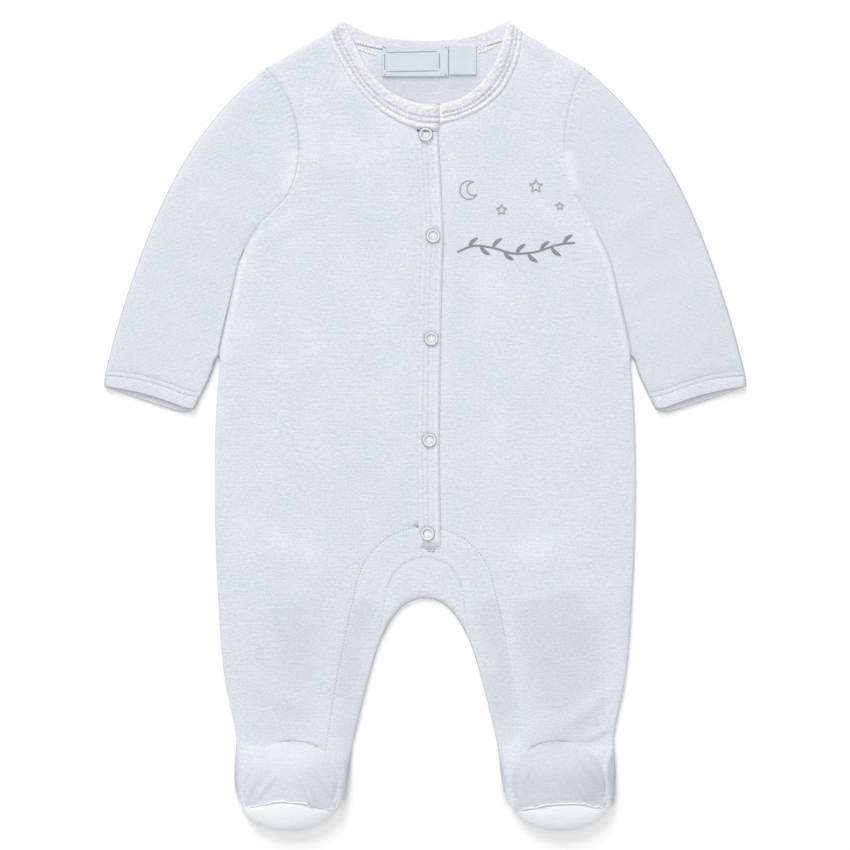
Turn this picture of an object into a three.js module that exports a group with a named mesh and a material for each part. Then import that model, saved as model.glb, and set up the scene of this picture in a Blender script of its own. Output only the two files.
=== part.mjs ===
// Footed baby sleepsuit in velour, size 3 months (60 cm), laid flat on its back with its snaps done up.
//
// Millimetres. X runs across the page, Y up the page towards the neck and Z up off the surface. The origin
// lies on the surface under the middle of the garment. The wearer's right is on the page's left, at -X.
// The lower cloth (back, soles) lies on the surface and the upper cloth lies on it, so most pieces are
// walls between a top and an underside, set out from a few edges that neighbours share.

import * as THREE from "three";

// Cloth thicknesses and clearances
const cloth = 1.6; // velour, one layer
const trim = 2.2; // neckband and cuffs, a folded strip
const tape = 2.4; // placket, a folded and stitched strip
const cuffCloth = 1.9; // cuff, each side
const labelTape = 0.6; // woven label, folded double
const layerGap = 0.3; // between two layers that lie on each other
const seamGap = 0.3; // between two pieces at their seam
const upperLayer = cloth + layerGap; // underside of the upper cloth where it lies closest

// Edges
const foldRadius = 1.75; // of a folded edge, such as a sleeve's
const turnBulge = 0.8; // how far cloth that turns over stands out past its edge
const edgeStrip = 1.8; // width of the strip at an edge that turns down or dips
const rolled = 0.9; // how far an outside edge turns down
const seamed = 0.5; // how far an edge dips into its seam

// Placket, snaps and labels
const placketWidth = 14.2;
const underlap = 2.5; // how far the left front stops short of the placket's left edge
const overlap = { width: 28, start: -66, full: -30 }; // where the right front climbs onto the left
const snap = { radius: 4.6, width: 1.5, height: 0.9, sides: 14, section: 5 };
const neckLabel = { x: -6.3, y: 238.3, width: 43, length: 20 };
const sizeLabel = { x: 24.7, y: 238.9, width: 17.6, length: 19 };

// The foot's dome: its middle line, half width, height, where it starts below the ankle and over what length
// it rises. The toe seam bows up the page between its ends, and the sole curls up to it.
const foot = { middle: 87, halfWidth: 37.6, height: 10.6, top: -205.5, rise: 25 };
const toeSeam = { bow: 3.2, halfWidth: 29.6, bowStart: -217.5 };
const soleContact = 0.45; // share of the toe's reach at which the sole leaves the surface
const soleShares = [0, 0.3, 0.65, 0.97]; // sections along the flat of the sole
const soleTurns = [-90, -50, -15, 20, 55, 88]; // degrees round its curl

// Side edge from the toe corner to the underarm: distance out from the middle line at each height
const sideEdge = [
  { up: -246, out: 122.3 },
  { up: -232, out: 124.5 },
  { up: -216, out: 123.9 },
  { up: -202, out: 123.2 },
  { up: -193, out: 124.7 },
  { up: -180, out: 128.4 },
  { up: -153, out: 132.4 },
  { up: -114, out: 135.0 },
  { up: -75, out: 136.9 },
  { up: -29, out: 137.6 },
  { up: 17, out: 136.2 },
  { up: 53, out: 133.0 },
  { up: 82, out: 126.6 },
  { up: 107, out: 120.8 },
  { up: 123.8, out: 113.6 },
];

// Inner leg edge from the toe corner to where the back's cloth starts to show
const innerLeg = [
  { up: -246, out: 54.6 },
  { up: -232, out: 50.4 },
  { up: -206, out: 47.2 },
  { up: -180, out: 41.3 },
  { up: -154, out: 33.8 },
  { up: -147, out: 31.6 },
];

// From there, the crotch edge and the seam in front of it, both up to the middle line
const crotchEdge = [
  { out: 31.6, up: -147 },
  { out: 27.0, up: -136 },
  { out: 21.8, up: -126 },
  { out: 15.8, up: -118.6 },
  { out: 8.2, up: -113.8 },
  { out: 0, up: -112.3 },
];
const crotchSeam = [
  { out: 31.0, up: -146 },
  { out: 28.6, up: -132 },
  { out: 26.4, up: -120 },
  { out: 24.6, up: -108 },
  { out: 20.6, up: -98 },
  { out: 13.4, up: -90.6 },
  { out: 0, up: -86.5 },
];

// Seam of the inner leg panel, from the top of the foot up to the placket
const innerLegSeam = [
  { out: 65.5, up: -213.5 },
  { out: 62.0, up: -190 },
  { out: 58.0, up: -165 },
  { out: 52.6, up: -138 },
  { out: 47.0, up: -112 },
  { out: 40.6, up: -90.5 },
  { out: 28.8, up: -76.2 },
  { out: 16.4, up: -69.0 },
  { out: 5.6, up: -65.8 },
];

// Seam round the top of the foot, from the outer toe corner over to the inner leg seam, then to the inner
// toe corner, and the seam across the toes
const footSeamOuter = [
  { out: 116.6, up: -246 },
  { out: 117.6, up: -232 },
  { out: 113.5, up: -219 },
  { out: 103.0, up: -210 },
  { out: 88.0, up: -206.5 },
  { out: 74.0, up: -208.6 },
  { out: 65.5, up: -213.5 },
];
const footSeamInner = [
  { out: 65.5, up: -213.5 },
  { out: 59.4, up: -222 },
  { out: 57.4, up: -234 },
  { out: 60.0, up: -246 },
];
const toeEdge = [
  { out: 122.3, up: -246.6 },
  { out: 119.4, up: -253.4 },
  { out: 111.5, up: -259.8 },
  { out: 99.5, up: -264.2 },
  { out: 87.0, up: -265.4 },
  { out: 74.5, up: -263.6 },
  { out: 64.0, up: -258.4 },
  { out: 57.2, up: -252 },
  { out: 54.6, up: -246.6 },
];
const heel = -203.6;

// Armhole from the underarm to the shoulder; the two sides lie a little differently
const armholes = {
  right: [
    { out: 113.6, up: 123.8 },
    { out: 108.0, up: 131.5 },
    { out: 99.0, up: 140.2 },
    { out: 90.0, up: 151 },
    { out: 84.6, up: 164 },
    { out: 82.2, up: 181 },
    { out: 84.2, up: 199 },
    { out: 91.5, up: 217.5 },
    { out: 104.1, up: 234.0 },
  ],
  left: [
    { out: 113.6, up: 123.8 },
    { out: 110.6, up: 130.5 },
    { out: 104.4, up: 141.5 },
    { out: 96.8, up: 152.3 },
    { out: 92.6, up: 164.5 },
    { out: 91.0, up: 181 },
    { out: 92.6, up: 199 },
    { out: 97.0, up: 217.5 },
    { out: 104.6, up: 234.0 },
  ],
};

// Sleeve: its folded upper edge and its seamed under edge, from the body down to the cuff seam
const overarm = [
  { out: 104.5, up: 234.0 },
  { out: 121.2, up: 219.9 },
  { out: 139.4, up: 199.9 },
  { out: 157.4, up: 174 },
  { out: 171.2, up: 148 },
  { out: 182.4, up: 122 },
  { out: 191.6, up: 96 },
  { out: 200.0, up: 70 },
  { out: 206.4, up: 47 },
  { out: 209.8, up: 32.4 },
];
const underarm = [
  { out: 114.4, up: 123.0 },
  { out: 121.9, up: 107.6 },
  { out: 127.8, up: 83 },
  { out: 134.2, up: 53.6 },
  { out: 139.8, up: 32.8 },
  { out: 147.0, up: 18.4 },
];

// The cuff's seam and its two lower edges, from the outside in: the front edge arches clear of the back's
const cuffSeam = [
  { out: 209.8, up: 32.4 },
  { out: 195.0, up: 31.2 },
  { out: 181.0, up: 28.6 },
  { out: 168.0, up: 24.4 },
  { out: 157.0, up: 20.2 },
  { out: 147.0, up: 18.4 },
];
const cuffFront = [
  { out: 210.1, up: 25.6 },
  { out: 193.0, up: 22.8 },
  { out: 177.0, up: 18.6 },
  { out: 165.0, up: 14.6 },
  { out: 156.6, up: 11.2 },
  { out: 150.4, up: 10.8 },
];
const cuffBack = [
  { out: 210.1, up: 25.6 },
  { out: 195.0, up: 20.2 },
  { out: 178.0, up: 14.6 },
  { out: 164.0, up: 10.1 },
  { out: 155.6, up: 8.0 },
  { out: 150.4, up: 10.8 },
];

// Neckband, one folded strip: its right front, which ends on top at the placket, its back, and its left
// front, which starts underneath. The opening's edge comes first, then the edge sewn to the body.
const bandRight = [
  { inX: -53.7, inY: 264.4, outX: -63.6, outY: 256.6 },
  { inX: -49.5, inY: 257.0, outX: -61.6, outY: 247.4 },
  { inX: -45.2, inY: 248.0, outX: -57.0, outY: 239.0 },
  { inX: -40.2, inY: 237.4, outX: -51.2, outY: 229.4 },
  { inX: -33.2, inY: 227.2, outX: -43.2, outY: 218.0 },
  { inX: -23.6, inY: 218.4, outX: -31.8, outY: 206.8 },
  { inX: -12.0, inY: 212.4, outX: -17.6, outY: 197.6 },
  { inX: -1.0, inY: 209.9, outX: -3.2, outY: 192.6 },
  { inX: 9.2, inY: 209.4, outX: 9.2, outY: 192.2 },
];
const bandBack = [
  { inX: -53.7, inY: 264.4, outX: -63.6, outY: 256.6 },
  { inX: -46.6, inY: 261.6, outX: -52.4, outY: 251.4 },
  { inX: -38.0, inY: 256.7, outX: -38.0, outY: 248.0 },
  { inX: -23.6, inY: 253.2, outX: -22.8, outY: 245.0 },
  { inX: 0.0, inY: 251.6, outX: 0.0, outY: 243.6 },
  { inX: 23.6, inY: 253.2, outX: 22.8, outY: 245.0 },
  { inX: 38.0, inY: 256.7, outX: 38.0, outY: 248.0 },
  { inX: 46.6, inY: 261.6, outX: 52.4, outY: 251.4 },
  { inX: 53.9, inY: 264.4, outX: 63.7, outY: 256.8 },
];
const bandLeft = [
  { inX: -1.5, inY: 210.2, outX: -1.5, outY: 195.6 },
  { inX: 9.0, inY: 210.2, outX: 10.4, outY: 196.4 },
  { inX: 19.0, inY: 211.8, outX: 24.4, outY: 200.0 },
  { inX: 29.5, inY: 217.2, outX: 38.2, outY: 206.4 },
  { inX: 38.5, inY: 226.0, outX: 49.3, outY: 215.6 },
  { inX: 45.2, inY: 236.4, outX: 57.0, outY: 227.2 },
  { inX: 49.6, inY: 247.4, outX: 62.0, outY: 240.4 },
  { inX: 52.2, inY: 257.6, outX: 63.6, outY: 250.0 },
  { inX: 53.9, inY: 264.4, outX: 63.7, outY: 256.8 },
];

// Middle line of the placket and its snaps
const placketLine = [
  { up: -79.6, x: 3.3 },
  { up: -50, x: 2.8 },
  { up: -10, x: 2.3 },
  { up: 17, x: 2.7 },
  { up: 89, x: 3.9 },
  { up: 124, x: 5.2 },
  { up: 148, x: 3.9 },
  { up: 191.8, x: 1.5 },
];
const snaps = [
  { x: 0.4, y: 190.0 },
  { x: 5.3, y: 123.8 },
  { x: 4.1, y: 56.7 },
  { x: 2.9, y: -9.5 },
  { x: 1.6, y: -70.7 },
];

// Air under the upper cloth, as smooth swells on both sides of the middle line
const swells = [
  { x: 46, y: 160, wide: 70, long: 72, high: 0.7 },
  { x: 72, y: 22, wide: 78, long: 130, high: 1.5 },
  { x: 93, y: -104, wide: 47, long: 84, high: 2.9 },
  { x: 150, y: 150, wide: 40, long: 70, high: 1.3 },
  { x: 172, y: 74, wide: 32, long: 60, high: 1.2 },
];

// Soft troughs: their two ends, half width and depth, which fades towards both ends
const troughEnd = 0.15;
const troughs = [
  { x: -112, y: 112, toX: -64, toY: 150, wide: 9, deep: 0.7 },
  { x: 113, y: 108, toX: 70, toY: 140, wide: 9, deep: 0.6 },
  { x: -128, y: 176, toX: -98, toY: 160, wide: 8, deep: 0.5 },
  { x: 170, y: 118, toX: 128, toY: 84, wide: 10, deep: 0.7 },
  { x: -176, y: 96, toX: -140, toY: 60, wide: 9, deep: 0.6 },
  { x: -56, y: -88, toX: -112, toY: -52, wide: 14, deep: 0.9 },
  { x: 52, y: -80, toX: 110, toY: -60, wide: 14, deep: 0.8 },
  { x: -72, y: -196, toX: -112, toY: -150, wide: 12, deep: 0.8 },
  { x: 126, y: -150, toX: 92, toY: -188, wide: 12, deep: 0.9 },
  { x: -96, y: -222, toX: -113, toY: -244, wide: 5.5, deep: 1.6 },
  { x: -90, y: -226, toX: -98, toY: -243, wide: 4, deep: 0.9 },
  { x: -70, y: -221, toX: -61, toY: -243, wide: 5, deep: 1.5 },
  { x: -78, y: -234, toX: -73, toY: -246, wide: 4.5, deep: 1.3 },
  { x: 104, y: -216, toX: 117, toY: -242, wide: 5.5, deep: 1.5 },
  { x: 98, y: -236, toX: 106, toY: -246, wide: 4, deep: 0.9 },
  { x: 64, y: -219, toX: 62, toY: -244, wide: 5, deep: 1.0 },
];

// Steps along the edges that neighbours share
const placketSteps = 12;
const steps = { footOuter: 8, footInner: 7, leg: 9, shin: 3, crotch: 7, torso: 6, armhole: 9, sleeve: 9 };
const cuffShares = [0.05, 0.3, 0.75, 1]; // rings from the cuff's seam to its edge
const soleColumns = 10;
const armholeFade = 6; // how fast the sleeve's lines leave the armhole's shape
const backColumns = 1; // of points between the edge strips
const frontColumns = 5;
const trimColumns = 1;

const smoothstep = (from, to, value) => THREE.MathUtils.smoothstep(value, from, to);

// A smooth line through the rows of a table, on the wanted side, cut into equal steps.
function trace(rows, side, count) {
  const curve = new THREE.SplineCurve(rows.map((row) => new THREE.Vector2(side * row.out, row.up)));
  return curve.getSpacedPoints(count);
}

// A smooth function through two columns of a table whose first column rises.
function smooth(rows, from, to) {
  const curve = new THREE.CubicInterpolant(
    rows.map((row) => row[from]),
    rows.map((row) => row[to]),
    1,
  );
  return (value) => curve.evaluate(value)[0];
}

// A line up the page between two heights, given how far across it lies at each height.
function upLine(acrossAt, low, high, count) {
  return Array.from({ length: count + 1 }, (_, i) => {
    const up = low + ((high - low) * i) / count;
    return new THREE.Vector2(acrossAt(up), up);
  });
}

const upEdge = (outAt, side, low, high, count) => upLine((up) => side * outAt(up), low, high, count);

// The point of a line at a position counted in its own steps.
function at(line, position) {
  const i = Math.min(Math.floor(position), line.length - 2);
  return line[i].clone().lerp(line[i + 1], position - i);
}

// The point of a line at a distance along it.
function atLength(line, distance) {
  let left = distance;
  for (let i = 0; i < line.length - 2; i += 1) {
    const step = line[i].distanceTo(line[i + 1]);
    if (left <= step) return line[i].clone().lerp(line[i + 1], left / step);
    left -= step;
  }
  const [a, b] = line.slice(-2);
  return a.clone().lerp(b, left / a.distanceTo(b));
}

const lengthOf = (line) => line.slice(1).reduce((sum, p, i) => sum + p.distanceTo(line[i]), 0);

// A line moved sideways, to the left of its own direction.
function beside(line, distance) {
  return line.map((p, i) => {
    const way = line[Math.min(i + 1, line.length - 1)].clone().sub(line[Math.max(i - 1, 0)]).normalize();
    return new THREE.Vector2(p.x - way.y * distance, p.y + way.x * distance);
  });
}

const joined = (...lines) => lines.flatMap((line, i) => (i ? line.slice(1) : line));

const toeCorner = sideEdge[0].up;

// How far the top of the cloth has gone down at a distance in from its edge.
const turned = (distance, depth) => depth * Math.max(0, 1 - distance / edgeStrip);

function swell(x, y) {
  return swells.reduce((sum, s) => {
    const far = ((Math.abs(x) - s.x) / s.wide) ** 2 + ((y - s.y) / s.long) ** 2;
    return far < 1 ? sum + s.high * (1 - far) ** 2 : sum;
  }, 0);
}

function footDome(x, y) {
  const across = (Math.abs(x) - foot.middle) / foot.halfWidth;
  const down = (foot.top - y) / foot.rise;
  if (Math.abs(across) >= 1 || down <= 0) return 0;
  return foot.height * (1 - across * across) ** 0.6 * Math.sin((Math.min(down, 1) * Math.PI) / 2);
}

// How far up the page the toe seam's bow carries a point of the foot's top.
function toeLift(x, y) {
  const across = Math.min(1, Math.abs((Math.abs(x) - foot.middle) / toeSeam.halfWidth));
  return toeSeam.bow * (1 - across * across) * (1 - smoothstep(toeCorner, toeSeam.bowStart, y));
}

function trough(x, y) {
  return troughs.reduce((sum, t) => {
    const way = new THREE.Vector2(t.toX - t.x, t.toY - t.y);
    const along = ((x - t.x) * way.x + (y - t.y) * way.y) / way.lengthSq();
    const nearest = THREE.MathUtils.clamp(along, 0, 1);
    const away = Math.hypot(x - t.x - way.x * nearest, y - t.y - way.y * nearest) / t.wide;
    const fade = Math.sin(Math.PI * THREE.MathUtils.lerp(troughEnd, 1 - troughEnd, nearest));
    return away < 1 ? sum + t.deep * fade * (1 - away * away) ** 2 : sum;
  }, 0);
}

// Height of the underside of the upper cloth. Troughs only press out the air that is there.
function lift(x, y) {
  const air = swell(x, y) + footDome(x, y);
  return upperLayer + Math.max(0, air - Math.min(trough(x, y), air));
}

const placketAt = smooth(placketLine, "up", "x");

// The right front and its neckband climb onto the left front near the placket.
function climb(x, y, height) {
  const placketEdge = placketAt(y) - placketWidth / 2;
  const across = smoothstep(placketEdge - overlap.width, placketEdge, x);
  return height * across * smoothstep(overlap.start, overlap.full, y);
}

// One cloth from grids of points, each with an outer and an inner place: rows of equal length, of which a
// ring's close on themselves. Points of two grids that share their outer place are one point, and every
// edge that belongs to one face only is closed by a strip between outer and inner.
function sheet(grids, { ring = false } = {}) {
  const index = new Map();
  const points = [];
  const indexOf = (point) => {
    const key = point.outer.toArray().map((value) => value.toFixed(2)).join();
    if (!index.has(key)) {
      index.set(key, points.length);
      points.push(point);
    }
    return index.get(key);
  };
  const quads = grids.flatMap((rows) => {
    const ids = rows.map((row) => row.map(indexOf));
    const columns = ids[0].length;
    return ids.slice(1).flatMap((upper, r) =>
      Array.from({ length: ring ? columns : columns - 1 }, (_, c) => {
        const next = (c + 1) % columns;
        return [ids[r][c], ids[r][next], upper[next], upper[c]];
      }),
    );
  });
  const sides = quads.flatMap((quad) => quad.map((a, i) => [a, quad[(i + 1) % 4]]));
  const known = new Set(sides.map(([a, b]) => `${a},${b}`));
  const rim = sides.filter(([a, b]) => a !== b && !known.has(`${b},${a}`));
  const inner = (a) => a + points.length;
  const faces = [
    ...quads,
    ...quads.map((quad) => quad.map(inner).reverse()),
    ...rim.map(([a, b]) => [b, a, inner(a), inner(b)]),
  ];
  return solid([...points.map((p) => p.outer), ...points.map((p) => p.inner)], faces);
}

// A geometry from points and four-sided faces, turned so that its faces point out.
function solid(points, quads) {
  const triangles = quads.flatMap(([a, b, c, d]) => [[a, b, c], [a, c, d]]);
  const faces = triangles.filter(([a, b, c]) => a !== b && b !== c && c !== a);
  const volume = faces.reduce((sum, [a, b, c]) => sum + points[a].dot(points[b].clone().cross(points[c])), 0);
  const geometry = new THREE.BufferGeometry();
  const positions = new Float32Array(points.flatMap((p) => p.toArray()));
  geometry.setAttribute("position", new THREE.BufferAttribute(positions, 3));
  geometry.setIndex(volume < 0 ? faces.flat().reverse() : faces.flat());
  return geometry;
}

// Distances of a section's points from its first edge: both ends, both edge strips and some between.
function distances(width, middle) {
  const strip = Math.min(edgeStrip, width / 4);
  const step = (width - 2 * strip) / (middle + 1);
  const between = Array.from({ length: middle }, (_, i) => strip + step * (i + 1));
  return [0, strip, ...between, width - strip, width];
}

// The points of a panel between a first and a second edge, which have the same number of steps. depths says
// how far its top goes down along both edges and at both ends, and bow moves its points up the page.
function panel(first, second, { middle, thickness = cloth, under, depths, bow = () => 0 }) {
  const count = first.length - 1;
  const stepAt = (i) => (first[i].distanceTo(first[i + 1]) + second[i].distanceTo(second[i + 1])) / 2;
  const [startStep, endStep] = [stepAt(0), stepAt(count - 1)];
  const inner = Array.from({ length: count - 1 }, (_, i) => i + 1);
  const positions = [0, edgeStrip / startStep, ...inner, count - edgeStrip / endStep, count];
  return positions.map((position) => {
    const a = at(first, position);
    const b = at(second, position);
    const width = a.distanceTo(b);
    return distances(width, middle).map((distance) => {
      const p = a.clone().lerp(b, distance / width);
      p.y += bow(p.x, p.y);
      const drop = Math.max(
        turned(distance, depths.first),
        turned(width - distance, depths.second),
        turned(position * startStep, depths.start),
        turned((count - position) * endStep, depths.end),
      );
      const height = under(p.x, p.y);
      return {
        outer: new THREE.Vector3(p.x, p.y, height + thickness - drop),
        inner: new THREE.Vector3(p.x, p.y, height),
      };
    });
  });
}

// The same points with their faces swapped, for cloth that turns over.
const swapped = (rows) => rows.map((row) => row.map(({ outer, inner }) => ({ outer: inner, inner: outer })));

// A flattened tube, from rings that each give the line of its upper and of its lower cloth, from the folded
// edge to the seamed one. over gives the height of the upper cloth's top.
function tube(rings, thickness, over) {
  const edge = foldRadius * 0.7; // first point in from an edge, where the tube is nearly at full height
  const faceOf = (line, isUpper) => {
    const length = lengthOf(line);
    const even = line.slice(1, -1).map((_, i) => lengthOf(line.slice(0, i + 2)));
    return [0, edge, ...even, length - edge, length].map((distance) => {
      const squeezed = thickness + distance * (1 - (2 * thickness) / length);
      const p = atLength(line, distance);
      const q = atLength(line, squeezed);
      const roof = over(q.x, q.y) - thickness;
      const isEnd = distance === 0 || distance === length;
      const away = Math.min(distance, length - distance) / foldRadius;
      const round = Math.sqrt(1 - Math.max(0, 1 - away) ** 2);
      const full = isUpper ? over(p.x, p.y) : 0;
      const innerHeight = isUpper ? roof : thickness;
      return {
        outer: new THREE.Vector3(p.x, p.y, foldRadius + (full - foldRadius) * round),
        inner: new THREE.Vector3(q.x, q.y, isEnd ? (thickness + roof) / 2 : innerHeight),
      };
    });
  };
  const loops = rings.map(({ upper, lower }) => [
    ...faceOf(upper, true),
    ...faceOf(lower, false).slice(1, -1).reverse(),
  ]);
  return sheet([loops], { ring: true });
}

// Edges that pieces share
const sideOut = smooth(sideEdge, "up", "out");
const innerLegOut = smooth(innerLeg, "up", "out");
const sides = { right: -1, left: 1 };
const underarmUp = sideEdge.at(-1).up;
const anklesUp = -202;
const innerAnkleUp = -208;
const hipsUp = -75;
const chestUp = 150; // where the rows of the body start to fan out to the shoulders
const legSeamTop = innerLegSeam.at(-1).up;
const bandPoints = (rows, edge) => rows.map((row) => new THREE.Vector2(row[edge + "X"], row[edge + "Y"]));

// Right or left front: from the seam round the foot up to the shoulder, between the side and the placket.
function front(name) {
  const side = sides[name];
  const isRight = name === "right";
  const centreX = (up) => placketAt(up) - placketWidth / 2 + (isRight ? -seamGap : underlap);
  const neck = isRight ? bandPoints(bandRight, "out").slice(0, -1).reverse() : bandPoints(bandLeft, "out");
  const neckEdge = beside(neck, -side * seamGap);
  neckEdge[0].x = centreX(neckEdge[0].y);
  const legSeam = trace(innerLegSeam, side, steps.leg - 1);
  const seam = beside(joined(trace(footSeamOuter, side, steps.footOuter), legSeam), (-side * seamGap) / 2);
  seam.push(new THREE.Vector2(centreX(legSeamTop), seam.at(-1).y));
  const inner = joined(
    seam,
    upLine(centreX, seam.at(-1).y, chestUp, steps.torso),
    upLine(centreX, chestUp, neckEdge[0].y, steps.armhole - neck.length + 1),
    neckEdge,
  );
  const outer = joined(
    upEdge(sideOut, side, toeCorner, anklesUp, steps.footOuter),
    upEdge(sideOut, side, anklesUp, hipsUp, steps.leg),
    upEdge(sideOut, side, hipsUp, underarmUp, steps.torso),
    trace(armholes[name], side, steps.armhole),
  );
  const rows = panel(outer, inner, {
    middle: frontColumns,
    under: (x, y) => lift(x, y) + (isRight ? climb(x, y, upperLayer) : 0),
    depths: { first: rolled, second: seamed, start: seamed, end: rolled },
  });
  return sheet([rows]);
}

// Inner leg panel: an arch over the crotch that runs down both legs to the toe corners.
function innerLegPanel() {
  const half = (side) => ({
    seam: joined(
      trace(footSeamInner, side, steps.footInner).reverse(),
      trace(innerLegSeam, side, steps.leg - 1),
    ),
    edge: joined(
      upEdge(innerLegOut, side, toeCorner, innerAnkleUp, steps.footInner),
      upEdge(innerLegOut, side, innerAnkleUp, crotchSeam[0].up, steps.shin - 1),
      trace(crotchSeam, side, steps.crotch),
    ),
  });
  const right = half(sides.right);
  const left = half(sides.left);
  const crown = new THREE.Vector2(0, legSeamTop);
  const seam = beside([...right.seam, crown, ...left.seam.reverse()], -seamGap / 2);
  const rows = panel(seam, [...right.edge, ...left.edge.slice(0, -1).reverse()], {
    middle: trimColumns,
    under: lift,
    depths: { first: seamed, second: rolled, start: seamed, end: seamed },
  });
  return sheet([rows]);
}

// Back: two legs and a body that lie on the surface, and the cloth that turns over the crotch to the front.
function back() {
  const half = (name) => {
    const side = sides[name];
    const neck = bandPoints(bandBack, "out");
    const middle = (neck.length - 1) / 2;
    const neckHalf = name === "right" ? neck.slice(0, middle + 1).reverse() : neck.slice(middle);
    const neckEdge = beside(neckHalf, -side * seamGap);
    neckEdge[0].x = 0;
    const centre = () => 0;
    const inner = joined(
      upEdge(innerLegOut, side, heel + seamGap, innerLeg.at(-1).up, steps.shin),
      trace(crotchEdge, side, steps.crotch),
      upLine(centre, crotchEdge.at(-1).up, chestUp, steps.torso),
      upLine(centre, chestUp, neckEdge[0].y, steps.armhole - middle),
      neckEdge,
    );
    const outer = joined(
      upEdge(sideOut, side, heel + seamGap, hipsUp, steps.shin + steps.crotch),
      upEdge(sideOut, side, hipsUp, underarmUp, steps.torso),
      trace(armholes[name], side, steps.armhole),
    );
    const depths = { first: rolled, second: 0, start: seamed, end: 0 };
    const rows = panel(outer, inner, { middle: backColumns, under: () => 0, depths });
    return side < 0 ? rows.map((row) => row.reverse()) : rows;
  };
  const [right, left] = [half("right"), half("left")];
  const [seamRight, seamLeft] = [sides.right, sides.left].map((side) => trace(crotchSeam, side, steps.crotch));
  const seam = beside([...seamRight, ...seamLeft.slice(0, -1).reverse()], -seamGap).slice(1, -1);
  const from = steps.shin + 2; // first of the rows that end at the crotch where the cloth turns over
  const to = from + steps.crotch - 1;
  const edges = [
    ...right.slice(from, to + 1).map((row) => row[0]),
    ...left.slice(from, to).reverse().map((row) => row.at(-1)),
  ];
  const turn = edges.map((edge, i) => {
    const flat = new THREE.Vector2(edge.outer.x, edge.outer.y);
    const width = flat.distanceTo(seam[i]);
    const upper = (distance, drop) => {
      const p = flat.clone().lerp(seam[i], distance / width);
      const height = lift(p.x, p.y);
      return {
        outer: new THREE.Vector3(p.x, p.y, height),
        inner: new THREE.Vector3(p.x, p.y, height + cloth - drop),
      };
    };
    const bend = flat.clone().lerp(seam[i], -turnBulge / width);
    const crease = flat.clone().lerp(seam[i], layerGap / width);
    const fold = {
      outer: new THREE.Vector3(crease.x, crease.y, cloth + layerGap / 2),
      inner: new THREE.Vector3(bend.x, bend.y, cloth + layerGap / 2),
    };
    const strip = Math.min(edgeStrip, width / 4);
    return [edge, fold, upper(strip, 0), upper(width / 2, 0), upper(width - strip, 0), upper(width, seamed)];
  });
  return sheet([right, left, turn.reverse()]);
}

// A line part-way between the sleeve's ends. It takes on the bow of the cuff seam steadily, and leaves that
// of the armhole fast enough to pass clear of the body under the arm.
function sleeveLine(share, upper, lower, armhole, cuff) {
  const from = at(upper, share * (upper.length - 1));
  const to = at(lower, share * (lower.length - 1));
  return armhole.map((p, i) => {
    const u = i / (armhole.length - 1);
    const bow = (line) => at(line, u * (line.length - 1)).sub(line[0].clone().lerp(line.at(-1), u));
    return from
      .clone()
      .lerp(to, u)
      .addScaledVector(bow(armhole), (1 - share) ** armholeFade)
      .addScaledVector(bow(cuff), share);
  });
}

function sleeve(name) {
  const side = sides[name];
  const armhole = beside(trace(armholes[name], side, steps.armhole).reverse(), side * seamGap);
  const upper = trace(overarm, side, 4 * steps.sleeve);
  const lower = trace(underarm, side, 4 * steps.sleeve);
  upper[0].copy(armhole[0]);
  lower[0].copy(armhole.at(-1));
  const cuffLine = trace(cuffSeam, side, steps.armhole);
  const rings = Array.from({ length: steps.sleeve + 1 }, (_, i) => {
    const line = sleeveLine(i / steps.sleeve, upper, lower, armhole, cuffLine);
    return { upper: line, lower: line };
  });
  return tube(rings, cloth, (x, y) => lift(x, y) + cloth);
}

function cuff(name) {
  const side = sides[name];
  const seam = trace(cuffSeam, side, steps.armhole);
  const frontEdge = trace(cuffFront, side, steps.armhole);
  const backEdge = trace(cuffBack, side, steps.armhole);
  const between = (edge, share) => seam.map((p, i) => p.clone().lerp(edge[i], share));
  const rings = cuffShares.map((share) => ({
    upper: between(frontEdge, share),
    lower: between(backEdge, share),
  }));
  return tube(rings, cuffCloth, (x, y) => lift(x, y) + trim);
}

// Neckband: one strip from the right front over the shoulder, behind the neck and back to the left front.
function neckband() {
  const strip = (rows, under, thickness, depths) =>
    panel(bandPoints(rows, "in"), bandPoints(rows, "out"), { middle: trimColumns, thickness, under, depths });
  const rounded = { first: rolled, second: rolled, start: 0, end: 0 };
  const climbing = (x, y) => lift(x, y) + climb(x, y, trim + layerGap);
  const right = strip([...bandRight].reverse(), climbing, trim, { ...rounded, start: seamed });
  const left = strip(bandLeft, lift, trim, { ...rounded, start: seamed });
  const behind = swapped(strip(bandBack, () => 0, cloth, { ...rounded, first: 0, second: 0 }));
  const fold = (row, out) =>
    row.map(({ outer, inner }) => ({
      outer: new THREE.Vector3(outer.x + out * turnBulge, outer.y + turnBulge, cloth + layerGap / 2),
      inner: new THREE.Vector3(inner.x, inner.y, cloth + layerGap / 2),
    }));
  return sheet([
    [...right, fold(right.at(-1), -1), ...behind, fold(left.at(-1), 1), ...left.reverse()],
  ]);
}

// Placket: a stitched strip on the right front's edge that laps over the left front.
function placket() {
  const top = bandRight.at(-1).outY - seamGap;
  const edge = (offset) => upLine((up) => placketAt(up) + offset, placketLine[0].up, top, placketSteps);
  const rows = panel(edge(-placketWidth / 2), edge(placketWidth / 2), {
    middle: trimColumns,
    thickness: tape,
    under: (x, y) => lift(x, y) + upperLayer,
    depths: { first: seamed, second: rolled, start: rolled, end: seamed },
  });
  return sheet([rows]);
}

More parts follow.
